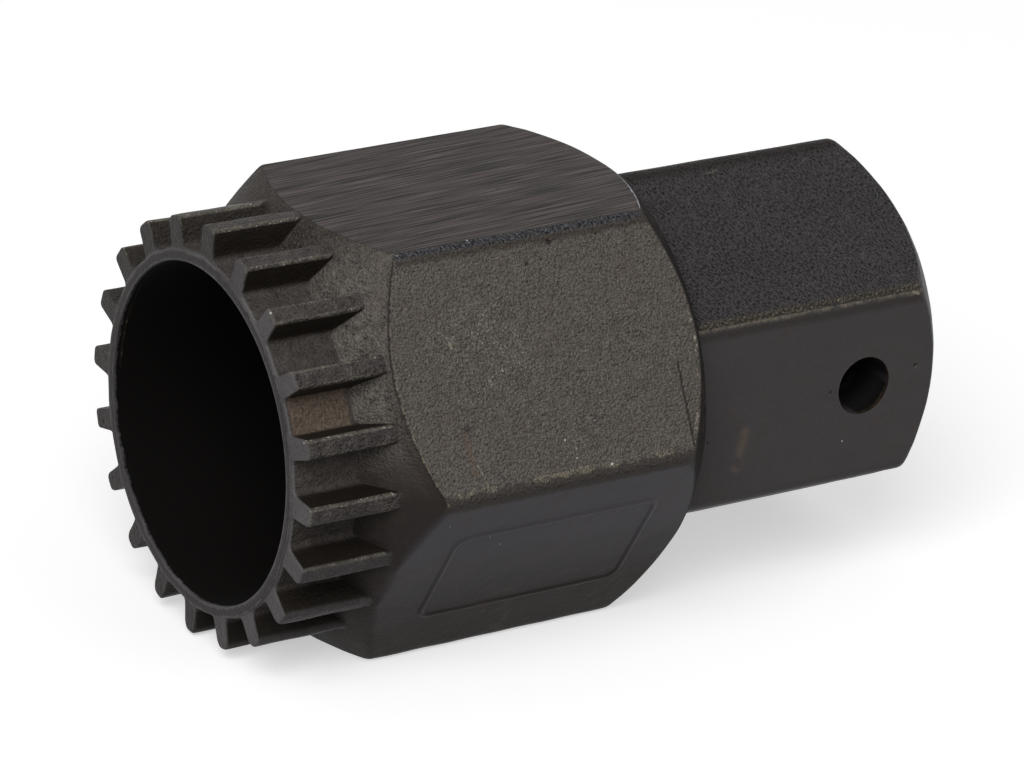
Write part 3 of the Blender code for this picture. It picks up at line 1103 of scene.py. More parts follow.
class Value:
    """A number that varies over the surface. Sums and products of it add Math nodes."""

    def __init__(self, graph: "Graph", socket: bpy.types.NodeSocket) -> None:
        """Keep the graph and the socket that gives the number."""
        self.graph = graph
        self.socket = socket

    def math(self, operation: str, first: Any, second: Any = 0.0) -> "Value":
        """Add a Math node.

        Args:
            operation: the node's operation.
            first: its first number.
            second: its second number.

        Returns:
            The node's result.
        """
        node = self.graph.node("ShaderNodeMath", {"operation": operation}, {0: first, 1: second})
        return Value(self.graph, node.outputs[0])

    def __add__(self, other: Any) -> "Value":
        """Sum."""
        return self.math("ADD", self, other)

    def __radd__(self, other: Any) -> "Value":
        """Sum with a plain number first."""
        return self.math("ADD", other, self)

    def __sub__(self, other: Any) -> "Value":
        """Difference."""
        return self.math("SUBTRACT", self, other)

    def __rsub__(self, other: Any) -> "Value":
        """Difference with a plain number first."""
        return self.math("SUBTRACT", other, self)

    def __mul__(self, other: Any) -> "Value":
        """Product."""
        return self.math("MULTIPLY", self, other)

    def __rmul__(self, other: Any) -> "Value":
        """Product with a plain number first."""
        return self.math("MULTIPLY", other, self)

    def __truediv__(self, other: Any) -> "Value":
        """Quotient."""
        return self.math("DIVIDE", self, other)

    def least(self, other: Any) -> "Value":
        """The smaller of two numbers."""
        return self.math("MINIMUM", self, other)

    def most(self, other: Any) -> "Value":
        """The larger of two numbers."""
        return self.math("MAXIMUM", self, other)

    def size(self) -> "Value":
        """The number without its sign."""
        return self.math("ABSOLUTE", self)

    def hypot(self, other: "Value") -> "Value":
        """Length of the line whose two legs are this value and the other."""
        square = self * self + other * other
        return square.math("SQRT", square)

    def rise(self, low: float, high: float) -> "Value":
        """Smooth step from 0 at the low value to 1 at the high one, or the other way round.

        Args:
            low: where the step is 0.
            high: where the step is 1.

        Returns:
            The step.
        """
        node = self.graph.node("ShaderNodeMapRange", {"interpolation_type": "SMOOTHSTEP"},
                               {"Value": self, "From Min": low, "From Max": high})
        return Value(self.graph, node.outputs[0])

    def within(self, low: float, high: float, soft: float) -> "Value":
        """1 between two values and 0 outside them.

        Args:
            low: the lower value.
            high: the upper value.
            soft: width of the change at each.

        Returns:
            The mask.
        """
        return self.rise(low - soft, low + soft) * self.rise(high + soft, high - soft)


@dataclass
class Graph:
    """The nodes of one material or world."""

    tree: bpy.types.NodeTree

    def node(self, kind: str, settings: dict[str, Any], inputs: dict[Any, Any]) -> bpy.types.Node:
        """Add one node.

        Args:
            kind: the node's type.
            settings: its own settings, which are set first.
            inputs: a value or a link for each named or numbered socket.

        Returns:
            The node.
        """
        node = self.tree.nodes.new(kind)
        for name, setting in settings.items():
            setattr(node, name, setting)
        for name, value in inputs.items():
            given = value.socket if isinstance(value, Value) else value
            if isinstance(given, bpy.types.NodeSocket):
                self.tree.links.new(given, node.inputs[name])
            else:
                node.inputs[name].default_value = given
        return node

    def stored(self, name: str) -> bpy.types.NodeSocket:
        """Numbers that the mesh's points carry under a name."""
        return self.node("ShaderNodeAttribute", {"attribute_name": name}, {}).outputs["Vector"]

    def split(self, vector: bpy.types.NodeSocket) -> list[Value]:
        """The three numbers of a vector."""
        node = self.node("ShaderNodeSeparateXYZ", {}, {0: vector})
        return [Value(self, socket) for socket in node.outputs]

    def vector(self, operation: str, first: Any, second: Any) -> bpy.types.NodeSocket:
        """Vector made from two others.

        Args:
            operation: the Vector Math node's operation.
            first: its first vector.
            second: its second vector.

        Returns:
            The resulting vector.
        """
        node = self.node("ShaderNodeVectorMath", {"operation": operation}, {0: first, 1: second})
        return node.outputs["Vector"]

    def measure(self, operation: str, first: Any, second: Any) -> Value:
        """Number made from two vectors, such as their distance.

        Args:
            operation: the Vector Math node's operation.
            first: its first vector.
            second: its second vector.

        Returns:
            The resulting number.
        """
        node = self.node("ShaderNodeVectorMath", {"operation": operation}, {0: first, 1: second})
        return Value(self, node.outputs["Value"])

    def scaled(self, vector: Any, factor: Any) -> bpy.types.NodeSocket:
        """Vector or colour multiplied by one number."""
        node = self.node("ShaderNodeVectorMath", {"operation": "SCALE"}, {0: vector, "Scale": factor})
        return node.outputs["Vector"]

    def noise(self, place: bpy.types.NodeSocket, scale: float, detail: float, rough: float = 0.5) -> Value:
        """Cloudy pattern.

        Args:
            place: where the pattern is read.
            scale: how fine it is, per millimetre.
            detail: number of finer layers.
            rough: strength of the finer layers.

        Returns:
            Numbers round 0.5.
        """
        inputs = {"Vector": place, "Scale": scale, "Detail": detail, "Roughness": rough}
        return Value(self, self.node("ShaderNodeTexNoise", {}, inputs).outputs[0])

    def plane(self, place: bpy.types.NodeSocket, first: Place, second: Place) -> bpy.types.NodeSocket:
        """Flat place that is read along two directions, whose lengths say how fine each is."""
        read = [self.measure("DOT_PRODUCT", place, direction) for direction in (first, second)]
        return self.node("ShaderNodeCombineXYZ", {}, {0: read[0], 1: read[1]}).outputs[0]

    def paint(self, under: Any, shade: Tint, mask: Any) -> bpy.types.NodeSocket:
        """Colour that is covered by a plain shade where the mask says."""
        return self.blend(under, (*linear(shade), 1.0), mask)

    def blend(self, under: Any, over: Any, mask: Any) -> bpy.types.NodeSocket:
        """Colour between two others.

        Args:
            under: the colour where the mask is 0.
            over: the colour where the mask is 1.
            mask: the mask.

        Returns:
            The mixed colour.
        """
        settings = {"data_type": "RGBA", "clamp_factor": True}
        return self.node("ShaderNodeMix", settings, {0: mask, 6: under, 7: over}).outputs[2]


@dataclass(frozen=True)
class Spot:
    """A small round mark. Its place and radius are millimetres."""

    place: Place
    radius: float


@dataclass(frozen=True)
class Stroke:
    """A short straight mark. Its ends and half width are millimetres."""

    start: Place
    end: Place
    half: float


@dataclass(frozen=True)
class WearAndLightShades:
    """Colours of the casting's wear and marks, and of its painted shade, shadows, highlights and glints, on
    the screen's scale of 0 to 255.
    """

    bloom: Tint = (70, 59, 51)
    # painted highlights on single grains
    grain_glint: Tint = (142, 136, 122)
    # painted shadow just below the worn band on the upper long edge
    shadow_under_band: Tint = (46, 41, 37)
    band: Tint = (58, 57, 60)
    band_glint: Tint = (132, 134, 138)
    over_band: Tint = (34, 30, 29)
    side_edge: Tint = (60, 55, 52)
    side_glint: Tint = (136, 128, 110)
    drive_under: Tint = (44, 38, 35)
    drive_rub: Tint = (99, 93, 83)
    drive_top: Tint = (40, 34, 30)
    # painted shade at the foot of the small hexagon, next to the shoulder
    drive_foot_shade: Tint = (29, 24, 21)
    beside_front: Tint = (46, 39, 34)
    front_line: Tint = (33, 29, 26)
    front_glint: Tint = (132, 123, 104)
    rear_bits: Tint = (168, 162, 148)
    rear_glint: Tint = (190, 191, 196)
    bronze: Tint = (89, 78, 68)
    # worn edges of the splines, partly painted highlights along them
    spline_wear_and_highlight: Tint = (118, 113, 104)
    spline_glint: Tint = (196, 193, 185)
    rim_lips: Tint = (104, 102, 102)
    rust: Tint = (108, 86, 64)
    faded: Tint = (104, 93, 83)
    stain: Tint = (40, 36, 33)
    scuff: Tint = (144, 139, 127)
    crease: Tint = (38, 34, 31)
    # a painted highlight on the rim of each pit, and painted shade inside it
    pit_rim_highlight: Tint = (112, 107, 99)
    pit: Tint = (26, 23, 21)
    scratch: Tint = (142, 134, 116)
    # painted glints on single grains and edges
    speck_glint: Tint = (205, 203, 196)
    # painted highlight on the upper side of the cross hole's rim
    hole_rim_highlight: Tint = (88, 84, 78)
    hole_foot: Tint = (60, 50, 40)
    # painted shade deep in the hollow
    deep_inside_shade: Tint = (3, 2, 2)
    # painted shade on the cross hole's wall
    hole_inside_shade: Tint = (2, 1, 1)


@dataclass
class Here:
    """What the casting's material knows about the point that it colours.

    Attributes:
        place: the point in millimetres.
        loose: the same point, shaken a little, for marks with uneven borders.
        station: distance from the rim's plane.
        away: distance behind the axis, seen from the viewer's side.
        radius: distance from the axis.
        lift: angle above the level through the axis, in degrees, the same on both sides.
        hole: distance from the cross hole's axis, height above it less distance to its right, and
            whether the point lies in it.
        parts: how far the point belongs to the crown, the large and the small hexagon.
        front: distance behind the large hexagon's front edge.
        rear: distance behind its rear edge.
        rough: roughness of the finish.
        rubbed: speckled wear and edge highlights, share of the rim's width, and whether the point lies
            inside.
        relief: strengths of grit, peel and brush lines.
        rugged: 1 on the crown, the cone and the shoulder, and 0 on the flats and inside.
        brush: pattern of the grinding lines.
        peel: pattern of the wrinkled skin.
        cloud: soft pattern of a few millimetres.
        blotch: pattern of about a millimetre.
        knobs: pattern of half a millimetre, for the crown and the cone.
        grain: pattern of the sand's grains.
        sparkle: pattern whose peaks are single bright grains.
        fine: the finest pattern.
    """

    place: bpy.types.NodeSocket
    loose: bpy.types.NodeSocket
    station: Value
    away: Value
    radius: Value
    lift: Value
    hole: tuple[Value, Value, Value]
    parts: list[Value]
    front: Value
    rear: Value
    rough: Value
    rubbed: list[Value]
    relief: list[Value]
    rugged: Value
    brush: Value
    peel: Value
    cloud: Value
    blotch: Value
    knobs: Value
    grain: Value
    sparkle: Value
    fine: Value

    def mottle(self, **strengths: float) -> Value:
        """Patterns added up, each about its middle and with its own strength."""
        terms = [strength * (getattr(self, name) - 0.5) for name, strength in strengths.items()]
        return sum(terms[1:], terms[0])


@dataclass
class Coat:
    """The casting's colour, which wear, marks and painted light and shade are laid over one by one.

    Attributes:
        graph: the material's nodes.
        here: what is known about the point.
        colour: the colour so far.
    """

    graph: Graph
    here: Here
    colour: bpy.types.NodeSocket

    def lay(self, shade: Tint, mask: Value) -> None:
        """Cover the colour with a plain shade where the mask says."""
        self.colour = self.graph.paint(self.colour, shade, mask)

    def lay_lit(self, shade: Tint, light: Value, mask: Value) -> None:
        """Cover the colour with a shade that is lighter and darker in places."""
        self.colour = self.graph.blend(self.colour, self.graph.scaled(linear(shade), light), mask)

    def near(self, marks: tuple[Spot | Stroke, ...], crisp: bool = False) -> Value:
        """Distance to the border of the nearest of several marks.

        Args:
            marks: the marks.
            crisp: whether the borders are even.

        Returns:
            The distance, which is negative inside a mark.
        """
        graph, place = self.graph, self.here.place if crisp else self.here.loose
        result = None
        for mark in marks:
            if isinstance(mark, Spot):
                gap = graph.measure("DISTANCE", place, mark.place) - mark.radius
            else:
                start, end = Vector(mark.start), Vector(mark.end)
                length = (end - start).length
                unit = (end - start) / length
                past = graph.measure("DOT_PRODUCT", place, tuple(unit)) - start.dot(unit)
                walk = graph.scaled(tuple(unit), past.most(0.0).least(length))
                foot = graph.vector("ADD", walk, mark.start)
                gap = graph.measure("DISTANCE", place, foot) - mark.half
            result = gap if result is None else result.least(gap)
        return result


@dataclass
class BlackenedCasting:
    """Finish of the casting: blackened cast steel with a ground flat, worn edges, stains, and painted light
    and shade.

    Attributes:
        body: the casting that wears it.
        wear: the colours of its wear and marks, and of its painted shade and highlights.
        spec: the steel's specular level under its oxide.
        shake: how far a mark's border wanders, in millimetres.
        large_corner: distance from the axis to the large hexagon's long edges.
        small_corner: the same on the small hexagon.
        brush_axes: directions along and across the grinding lines, longer where they are finer.
        peel_axes: the same for the wrinkles.
        bump_reach: depth of one unit of relief, in metres.
        pits: holes left by bubbles.
        stains: dark patches.
        specks: painted glints on single bright grains, and one painted highlight line on a spline behind.
        scratches: short light lines.
        scuffed: the middle of the front flat's scuffed patch.
        crease: the dark fold near the front flat's rear edge.
        rust: the brown stain near its front edge.
        faded: the pale stain beside the cross hole.
    """

    body: ToolBody
    wear: WearAndLightShades = WearAndLightShades()
    spec: float = 0.09
    shake: float = 0.35
    large_corner: float = 18.2
    small_corner: float = 14.6
    brush_axes: tuple[Place, Place] = ((0.11976, 0.0084, 0.0), (-0.42, 5.988, 3.6))
    peel_axes: tuple[Place, Place] = ((0.3185, -0.5404, -0.3122), (0.891, 0.394, 0.228))
    bump_reach: float = 0.0003
    pits: tuple[Spot, ...] = (
        Spot((-5.82, -9.87, 30.9), 0.16), Spot((-7.99, -10.5, 29.81), 0.1),
        Spot((-6.79, -10.45, 29.9), 0.09), Spot((-1.92, -9.88, 30.89), 0.1),
        Spot((12.03, -1.81, 29.62), 0.08), Spot((26.0, -12.7, 16.94), 0.09),
        Spot((18.3, -12.7, 16.03), 0.06), Spot((7.48, -12.7, 13.9), 0.07),
        Spot((-27.95, 13.97, 11.25), 0.16),
    )
    stains: tuple[Spot, ...] = (
        Spot((-15.63, -15.85, 20.55), 0.35), Spot((-5.22, -0.93, 31.8), 0.35),
        Spot((-5.0, -1.5, 31.8), 0.3), Spot((-21.38, -14.82, 14.36), 0.5),
    )
    specks: tuple[Spot | Stroke, ...] = (
        Spot((-17.51, -17.37, 14.08), 0.05), Spot((-13.27, -16.13, 11.94), 0.05),
        Spot((-11.96, -15.51, 10.87), 0.05), Spot((19.85, -12.7, 11.85), 0.06),
        Spot((-4.59, -18.02, 16.78), 0.1), Spot((-7.98, -16.86, 18.79), 0.07),
        Spot((-7.23, -17.22, 18.18), 0.06), Spot((-7.33, -17.57, 17.57), 0.06),
        Spot((-12.27, -9.11, 31.8), 0.08), Spot((-27.9, -14.31, 21.19), 0.1),
        Spot((-27.9, -8.88, 28.79), 0.1),
        # painted highlight along the far edge of a spline's tip
        Stroke((-23.7, 5.4, 30.76), (-21.9, 4.7, 31.0), 0.06),
    )
    scratches: tuple[Stroke, ...] = (
        Stroke((-10.18, -12.89, 25.67), (-9.96, -13.27, 25.01), 0.05),
        Stroke((-16.07, -12.24, 26.8), (-15.4, -13.0, 25.5), 0.05),
        Stroke((-15.36, -17.12, 18.34), (-15.12, -17.46, 17.75), 0.05),
        Stroke((-15.12, -17.46, 17.75), (-14.88, -17.99, 16.85), 0.05),
        Stroke((13.69, -1.15, 30.0), (14.61, -1.13, 30.01), 0.07),
        Stroke((25.2, -12.62, 22.95), (25.6, -12.68, 22.8), 0.12),
        Stroke((-18.55, -9.12, 31.79), (-18.05, -9.3, 31.7), 0.09),
    )
    scuffed: Spot = Spot((-12.8, -13.3, 25.0), 1.5)
    crease: Stroke = Stroke((2.61, -14.9, 22.2), (2.5, -18.2, 16.5), 0.09)
    rust: Stroke = Stroke((-15.91, -16.07, 20.16), (-15.7, -17.43, 17.81), 0.3)
    faded: Stroke = Stroke((10.85, -12.7, 14.2), (10.3, -12.7, 11.5), 0.3)

    def read(self, graph: Graph) -> Here:
        """Nodes for the place of a point, what it carries and the patterns.

        Args:
            graph: the material's nodes.

        Returns:
            What the other methods colour by.
        """
        hollow = self.body.hollow
        place = graph.scaled(graph.node("ShaderNodeTexCoord", {}, {}).outputs["Object"], 1.0 / MM)
        along, away, height = graph.split(place)
        station = along + self.body.drive.end_station / 2
        height = height - self.body.spanner.half
        radius = away.hypot(height)
        lift = radius.math("ARCSINE", (height / radius).least(1.0).most(-1.0)) * math.degrees(1.0)

        shaking = graph.node("ShaderNodeTexNoise", {}, {"Vector": place, "Scale": 3.5, "Detail": 2.0})
        shift = graph.vector("SUBTRACT", shaking.outputs["Color"], (0.5, 0.5, 0.5))
        loose = graph.vector("ADD", place, graph.scaled(shift, self.shake))

        stored = ("parts", "rubbed", "relief", "gaps_and_rough")
        parts, rubbed, relief, (front, rear, rough) = (graph.split(graph.stored(name)) for name in stored)
        right, over = station - hollow.hole_station, height - hollow.hole_height
        far = right.hypot(over)
        bored = far.rise(hollow.hole_radius + 0.06, hollow.hole_radius + 0.01)
        bored = bored * parts[2] * away.rise(0.0, -2.0)

        streaks = graph.plane(place, *self.brush_axes)
        brush = 0.6 * graph.noise(streaks, 1.0, 1.0) + 0.33 * graph.noise(streaks, 2.2, 0.0)
        brush = brush + 0.07 * graph.noise(streaks, 0.2, 1.0)
        brush = brush - 0.05 * graph.noise(streaks, 0.55, 0.0).rise(0.62, 0.7)
        return Here(
            place=place, loose=loose, station=station, away=away, radius=radius, lift=lift,
            hole=(far, over - right, bored), parts=parts, front=front, rear=rear, rough=rough,
            rubbed=rubbed, relief=relief, rugged=(1.0 - parts[1] - parts[2] - rubbed[2]).most(0.0),
            brush=brush, peel=graph.noise(graph.plane(place, *self.peel_axes), 6.2, 0.0),
            cloud=graph.noise(place, 0.3, 3.0), blotch=graph.noise(place, 1.2, 3.0),
            knobs=graph.noise(place, 2.2, 1.0), grain=graph.noise(place, 4.2, 3.0, 0.65),
            sparkle=graph.noise(place, 6.3, 1.0), fine=graph.noise(place, 9.5, 2.0))

    def skin(self, coat: Coat) -> None:
        """Give the plain finishes their grain, with painted glints on the grains.

        Args:
            coat: the colour so far.
        """
        here, wear = coat.here, self.wear
        grit, wrinkle, ground = here.relief
        light = 1.0 + grit * here.mottle(grain=1.2, fine=2.9, blotch=0.5)
        light = light + wrinkle * here.mottle(peel=2.6, blotch=0.2) + ground * here.mottle(brush=9.5)
        low = here.parts[1] * here.lift.rise(-5.0, -15.0) * here.station.rise(16.0, 30.0)
        light = light + 0.12 * low + here.mottle(cloud=0.3)
        light = light + grit * here.rugged * here.mottle(knobs=0.8, blotch=1.1)
        coat.colour = coat.graph.scaled(coat.colour, light.most(0.1))
        calm = (1.0 - ground - wrinkle - here.parts[0] - here.rubbed[2]).most(0.0)
        coat.lay(wear.bloom, here.cloud.rise(0.5, 0.66) * here.blotch.rise(0.4, 0.62) * calm * 0.3)
        # painted glints on the grains of gritty finishes
        coat.lay(wear.grain_glint, (2.0 * grit - 0.8).most(0.0) * here.sparkle.rise(0.68, 0.78) * 0.5)

    def spanner_edges(self, coat: Coat) -> None:
        """Lay wear over the long edges of the large hexagon, with a painted shadow below the upper band and
        painted glints on it.

        Args:
            coat: the colour so far.
        """
        here, wear, spanner = coat.here, self.wear, coat.here.parts[1]
        shaken = here.mottle(blotch=0.5, grain=0.5)
        upper = (here.lift - 60.0) * math.radians(self.large_corner) + shaken
        band = spanner * upper.within(-0.58, -0.02, 0.07)
        # painted shadow on the front flat below the band
        coat.lay(wear.shadow_under_band, spanner * upper.within(-1.0, -0.6, 0.25) * 0.75)
        coat.lay_lit(wear.band, 1.0 + here.mottle(peel=3.5, fine=2.0), band)
        coat.lay(wear.band_glint, band * here.sparkle.rise(0.62, 0.72) * 0.6)
        coat.lay(wear.over_band, spanner * upper.within(-0.02, 0.1, 0.05) * 0.8)

        side = here.lift * math.radians(self.large_corner) + shaken
        coat.lay(wear.side_edge, spanner * side.within(-0.5, 0.68, 0.15) * 0.85)
        worn = spanner * side.within(0.6, 1.0, 0.12) * (here.blotch + here.cloud).rise(0.95, 1.15)
        coat.lay(wear.side_glint, worn * here.fine.rise(0.42, 0.58) * 0.8)

    def drive_edges(self, coat: Coat) -> None:
        """Lay wear over the small hexagon's long edges, and paint shade at its foot.

        Args:
            coat: the colour so far.
        """
        here, wear, drive = coat.here, self.wear, coat.here.parts[2]
        shaken = here.mottle(blotch=0.5, grain=0.5)
        side = (here.lift - 30.0) * math.radians(self.small_corner) + shaken * 0.6
        rub = drive * side.within(-0.4, 0.36, 0.16) * (here.blotch + 0.4 * here.grain).rise(0.4, 0.72)
        coat.lay(wear.drive_under, drive * side.within(-1.1, -0.45, 0.35) * 0.6)
        coat.lay_lit(wear.drive_rub, 1.0 + here.mottle(grain=2.4, fine=1.5), rub)
        top = here.away.size().rise(1.4, 0.3) * drive * here.lift.rise(60.0, 70.0)
        coat.lay(wear.drive_top, top * 0.8)
        # painted shade where the small hexagon meets the shoulder
        foot = (here.station + 0.6 * shaken).rise(34.5, 33.9) * here.lift.rise(26.0, 33.0)
        foot = foot.most((here.station + 0.3 * shaken).rise(33.8, 33.55)) * here.radius.rise(15.4, 15.0)
        coat.lay(wear.drive_foot_shade, foot * here.station.rise(33.0, 33.2) * 0.9)

    def end_edges(self, coat: Coat) -> None:
        """Lay lines along the front and rear edges of the large hexagon's flats.

        Args:
            coat: the colour so far.
        """
        here, wear = coat.here, self.wear
        shaken = here.mottle(grain=0.35, blotch=0.25)
        front, rear = here.front + shaken, here.rear + shaken
        grainy = here.lift.within(0.5, 58.5, 0.6)
        upper = here.lift.rise(20.0, 32.0)
        coat.lay(wear.beside_front, front.within(-0.9, 0.0, 0.4) * grainy * (1.0 - 0.7 * upper) * 0.5)
        coat.lay(wear.front_line, front.within(-0.18, 0.02, 0.06) * grainy * (0.6 + 0.2 * upper))
        light = front.within(0.07, 0.18, 0.05) * grainy * here.blotch.rise(0.42, 0.56) * (0.8 - 0.4 * upper)
        coat.lay(wear.front_glint, light * here.grain.rise(0.38, 0.55))
        bits = rear.within(-0.3, -0.02, 0.08) * grainy * here.blotch.rise(0.52, 0.62)
        coat.lay(wear.rear_bits, bits * here.grain.rise(0.45, 0.6) * 0.8)
        bright = rear.within(-0.09, 0.1, 0.04) * here.lift.rise(60.0, 62.0) * here.away.rise(-2.0, -5.0)
        coat.lay(wear.rear_glint, bright * here.blotch.rise(0.3, 0.5) * 0.65)

    def crown(self, coat: Coat) -> None:
        """Lay wear, painted highlights and glints over the splines, wear over the rim, and the bare patch
        between two splines.

        Args:
            coat: the colour so far.
        """
        here, wear = coat.here, self.wear
        speckled, across, inside = here.rubbed
        between = here.lift.within(21.6, 32.6, 0.25) * here.station.within(0.35, 5.0, 0.06)
        near_root = here.radius.rise(13.75, 13.6) * here.away.rise(0.0, -1.0)
        patch = between * near_root * (1.0 - inside).most(0.0)
        coat.lay_lit(wear.bronze, 1.0 + here.mottle(grain=2.2, fine=1.2), patch)
        # worn spline edges, with painted highlights along them
        worn = speckled.rise(0.35, 0.95) * (0.45 + 0.55 * (here.grain + here.blotch * 0.6).rise(0.72, 0.92))
        coat.lay(wear.spline_wear_and_highlight, worn * 0.65)
        coat.lay(wear.spline_glint, speckled.rise(0.5, 0.9) * here.sparkle.rise(0.66, 0.73) * 0.8)
        wavy = across + here.mottle(blotch=0.5, grain=0.4)
        lips = wavy.within(-0.06, 0.22, 0.1).most(wavy.within(0.84, 1.12, 0.1))
        coat.lay(wear.rim_lips, lips * (0.25 + 1.1 * (here.cloud - 0.25)).least(0.85).most(0.15))

    def marks(self, coat: Coat, pit: Value) -> None:
        """Lay the rust, the stains, the crease, the pits with their painted highlights and shade, the
        scratches and the specks' painted glints.

        Args:
            coat: the colour so far.
            pit: distance to the border of the nearest pit.
        """
        here, wear = coat.here, self.wear
        coat.lay(wear.rust, coat.near((self.rust,)).rise(0.15, -0.35) * here.grain.rise(0.35, 0.6) * 0.5)
        coat.lay(wear.faded, coat.near((self.faded,)).rise(0.5, -0.4) * here.blotch.rise(0.25, 0.55) * 0.7)
        coat.lay(wear.stain, coat.near(self.stains).rise(0.15, -0.2) * here.grain.rise(0.35, 0.6) * 0.75)
        scuff = coat.near((self.scuffed,)).rise(4.0, 0.0)
        coat.lay(wear.scuff, scuff * here.sparkle.rise(0.6, 0.68) * here.blotch.rise(0.4, 0.6))
        coat.lay(wear.crease, coat.near((self.crease,)).rise(0.05, -0.03) * 0.85)
        # painted highlight round each pit, then painted shade inside it
        coat.lay(wear.pit_rim_highlight, pit.within(0.02, 0.08, 0.04) * 0.6)
        coat.lay(wear.pit, pit.rise(0.04, -0.05) * 0.85)
        coat.lay(wear.scratch, coat.near(self.scratches).rise(0.03, -0.03) * 0.8)
        # painted glints at the specks
        coat.lay(wear.speck_glint, coat.near(self.specks, crisp=True).rise(0.02, -0.02) * 0.85)

    def openings(self, coat: Coat) -> None:
        """Lay a painted highlight and a brown edge round the cross hole, and paint shade into it and deep
        into the hollow.

        Args:
            coat: the colour so far.
        """
        here, wear, radius = coat.here, self.wear, self.body.hollow.hole_radius
        far, turn, bored = here.hole
        outer = here.away.rise(-12.3, -12.5)
        # painted highlight on the cross hole's upper rim
        coat.lay(wear.hole_rim_highlight, outer * far.within(radius, radius + 0.12, 0.05) * turn.rise(0.4, 2.6) * 0.6)
        # painted shade deep inside the hollow
        deep = here.rubbed[2] * here.station.rise(54.0, 51.0) * here.station.rise(34.0, 38.0)
        coat.lay(wear.deep_inside_shade, deep * 0.8)
        # painted shade on the cross hole's wall
        coat.lay(wear.hole_inside_shade, bored)
        lower = outer * far.within(radius - 0.2, radius + 0.03, 0.05) * turn.rise(-0.2, -2.0)
        coat.lay(wear.hole_foot, lower * here.grain.rise(0.3, 0.6) * 0.7)

    def relief(self, graph: Graph, here: Here, pit: Value) -> bpy.types.NodeSocket:
        """The surface's finest relief.

        Args:
            graph: the material's nodes.
            here: what is known about the point.
            pit: distance to the border of the nearest pit.

        Returns:
            The direction that the surface faces.
        """
        grit, wrinkle, ground = here.relief
        cast = 1.0 - ground
        swell = (1.0 - 0.5 * here.rubbed[2]) * graph.noise(here.place, 5.1, 0.0)
        height = grit * cast * 0.68 * swell + wrinkle * 2.9 * here.peel
        height = height + (0.08 + 0.17 * grit) * cast * here.blotch + 0.2 * grit * here.rugged * here.knobs
        height = height - 0.8 * pit.rise(0.12, -0.06)
        inputs = {"Height": height, "Distance": self.bump_reach, "Strength": 1.0}
        return graph.node("ShaderNodeBump", {}, inputs).outputs["Normal"]

    def build(self) -> bpy.types.Material:
        """Make the material.

        Returns:
            The material.
        """
        material = bpy.data.materials.new("blackened_steel")
        material.use_nodes = True
        graph = Graph(material.node_tree)
        here = self.read(graph)
        coat = Coat(graph, here, graph.stored("shade"))
        pit = coat.near(self.pits)
        for layer in (self.skin, self.spanner_edges, self.drive_edges, self.end_edges, self.crown):
            layer(coat)
        self.marks(coat, pit)
        self.openings(coat)

        rough = (here.rough + here.mottle(grain=0.12) - 0.12 * here.rubbed[0]).most(here.hole[2])
        shader = graph.tree.nodes["Principled BSDF"]
        shader.inputs["Specular IOR Level"].default_value = self.spec
        graph.tree.links.new(coat.colour, shader.inputs["Base Color"])
        graph.tree.links.new(rough.socket, shader.inputs["Roughness"])
        graph.tree.links.new(self.relief(graph, here, pit), shader.inputs["Normal"])
        return material


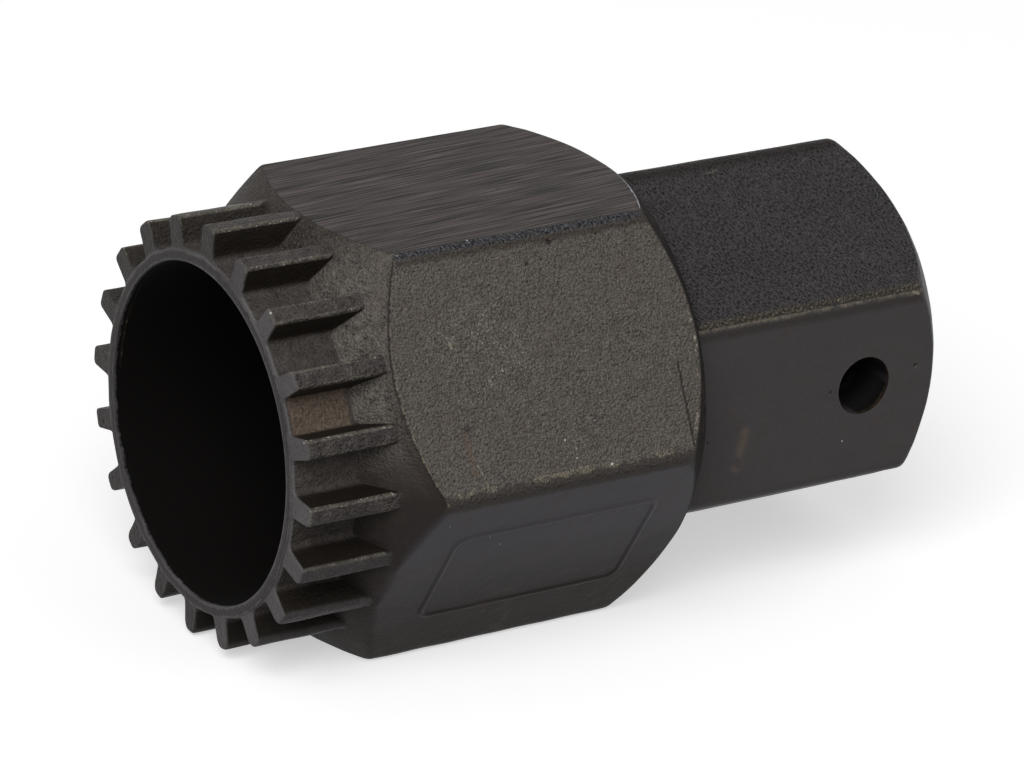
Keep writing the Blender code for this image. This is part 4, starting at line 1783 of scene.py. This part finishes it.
@dataclass
class Studio:
    """Plain pale floor and soft light round the tool. Sizes are metres."""

    floor_half: float = 1.6
    floor_drop: float = 0.00005
    pale: float = 0.75
    dim: float = 0.12
    lift: float = 0.5
    ambient: float = 0.3
    key_place: Place = (-0.55, -0.5, 0.75)
    key_size: float = 0.7
    key_share: float = 0.65
    fill_place: Place = (0.5, -0.9, 0.5)
    fill_size: float = 0.8
    fill_share: float = 0.12

    def bright_rays(self, graph: Graph) -> Value:
        """1 for rays from the camera, and for those mirrored or let through by a surface.

        Args:
            graph: the nodes of the floor or the world.

        Returns:
            The mask.
        """
        path = graph.node("ShaderNodeLightPath", {}, {})
        names = ("Is Camera Ray", "Is Glossy Ray", "Is Transmission Ray")
        camera, glossy, through = (Value(graph, path.outputs[name]) for name in names)
        return (camera + glossy + through).least(1.0)

    def floor(self) -> bpy.types.Object:
        """Make the floor.

        Returns:
            The floor, which stands under the tool.
        """
        mesh = bpy.data.meshes.new("floor")
        half, height = self.floor_half, -self.floor_drop
        corners = [(-half, -half, height), (half, -half, height), (half, half, height), (-half, half, height)]
        mesh.from_pydata(corners, [], [(0, 1, 2, 3)])
        item = bpy.data.objects.new("floor", mesh)
        bpy.context.scene.collection.objects.link(item)
        material = bpy.data.materials.new("pale_floor")
        material.use_nodes = True
        graph = Graph(material.node_tree)
        bright = self.bright_rays(graph)
        shader = graph.tree.nodes["Principled BSDF"]
        shader.inputs["Specular IOR Level"].default_value = 0.0
        shader.inputs["Roughness"].default_value = 1.0
        shade = graph.blend((self.dim,) * 3 + (1.0,), (self.pale,) * 3 + (1.0,), bright)
        graph.tree.links.new(shade, shader.inputs["Base Color"])
        glow = graph.blend((0.0, 0.0, 0.0, 1.0), (self.lift,) * 3 + (1.0,), bright)
        graph.tree.links.new(glow, shader.inputs["Emission Color"])
        shader.inputs["Emission Strength"].default_value = 1.0
        mesh.materials.append(material)
        return item

    def lamp(self, name: str, place: Place, size: float, share: float) -> bpy.types.Object:
        """Make one soft lamp that faces the tool.

        Args:
            name: the lamp's name.
            place: where it stands.
            size: the side of its square face.
            share: its part of the full light level.

        Returns:
            The lamp.
        """
        data = bpy.data.lights.new(name, "AREA")
        data.size = size
        spot = Vector(place)
        data.energy = share * (math.pi * spot.length) ** 2
        item = bpy.data.objects.new(name, data)
        item.location = spot
        item.rotation_euler = spot.to_track_quat("Z", "Y").to_euler()
        bpy.context.scene.collection.objects.link(item)
        return item

    def surroundings(self) -> None:
        """Give the scene its world: white to the camera and to gloss, softer as light."""
        world = bpy.data.worlds.new("studio")
        bpy.context.scene.world = world
        world.use_nodes = True
        graph = Graph(world.node_tree)
        level = self.ambient + self.bright_rays(graph) * (1.0 - self.ambient)
        background = graph.tree.nodes["Background"]
        background.inputs["Color"].default_value = (1.0, 1.0, 1.0, 1.0)
        graph.tree.links.new(level.socket, background.inputs["Strength"])

    def build(self) -> None:
        """Make the floor, the lamps and the world."""
        self.floor()
        self.lamp("key", self.key_place, self.key_size, self.key_share)
        self.lamp("fill", self.fill_place, self.fill_size, self.fill_share)
        self.surroundings()
        bpy.context.scene.view_settings.view_transform = "Standard"


def main() -> None:
    """Build the tool and the studio in order."""
    logging.basicConfig(level=logging.INFO, format="%(name)s: %(message)s")
    body = ToolBody()
    material = BlackenedCasting(body).build()
    for piece in (body.build(), PlainFrame().build(body)):
        piece.data.materials.clear()
        piece.data.materials.append(material)
        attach(piece, "root")
        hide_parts("tool_body")
        triangles = sum(len(face.vertices) - 2 for face in piece.data.polygons)
        LOG.info("%s: %d points, %d triangles", piece.name, len(piece.data.vertices), triangles)
    PhotoCamera().build(body)
    Studio().build()
    LOG.info("studio: floor, key, fill and world")


if __name__ == "__main__":
    main()
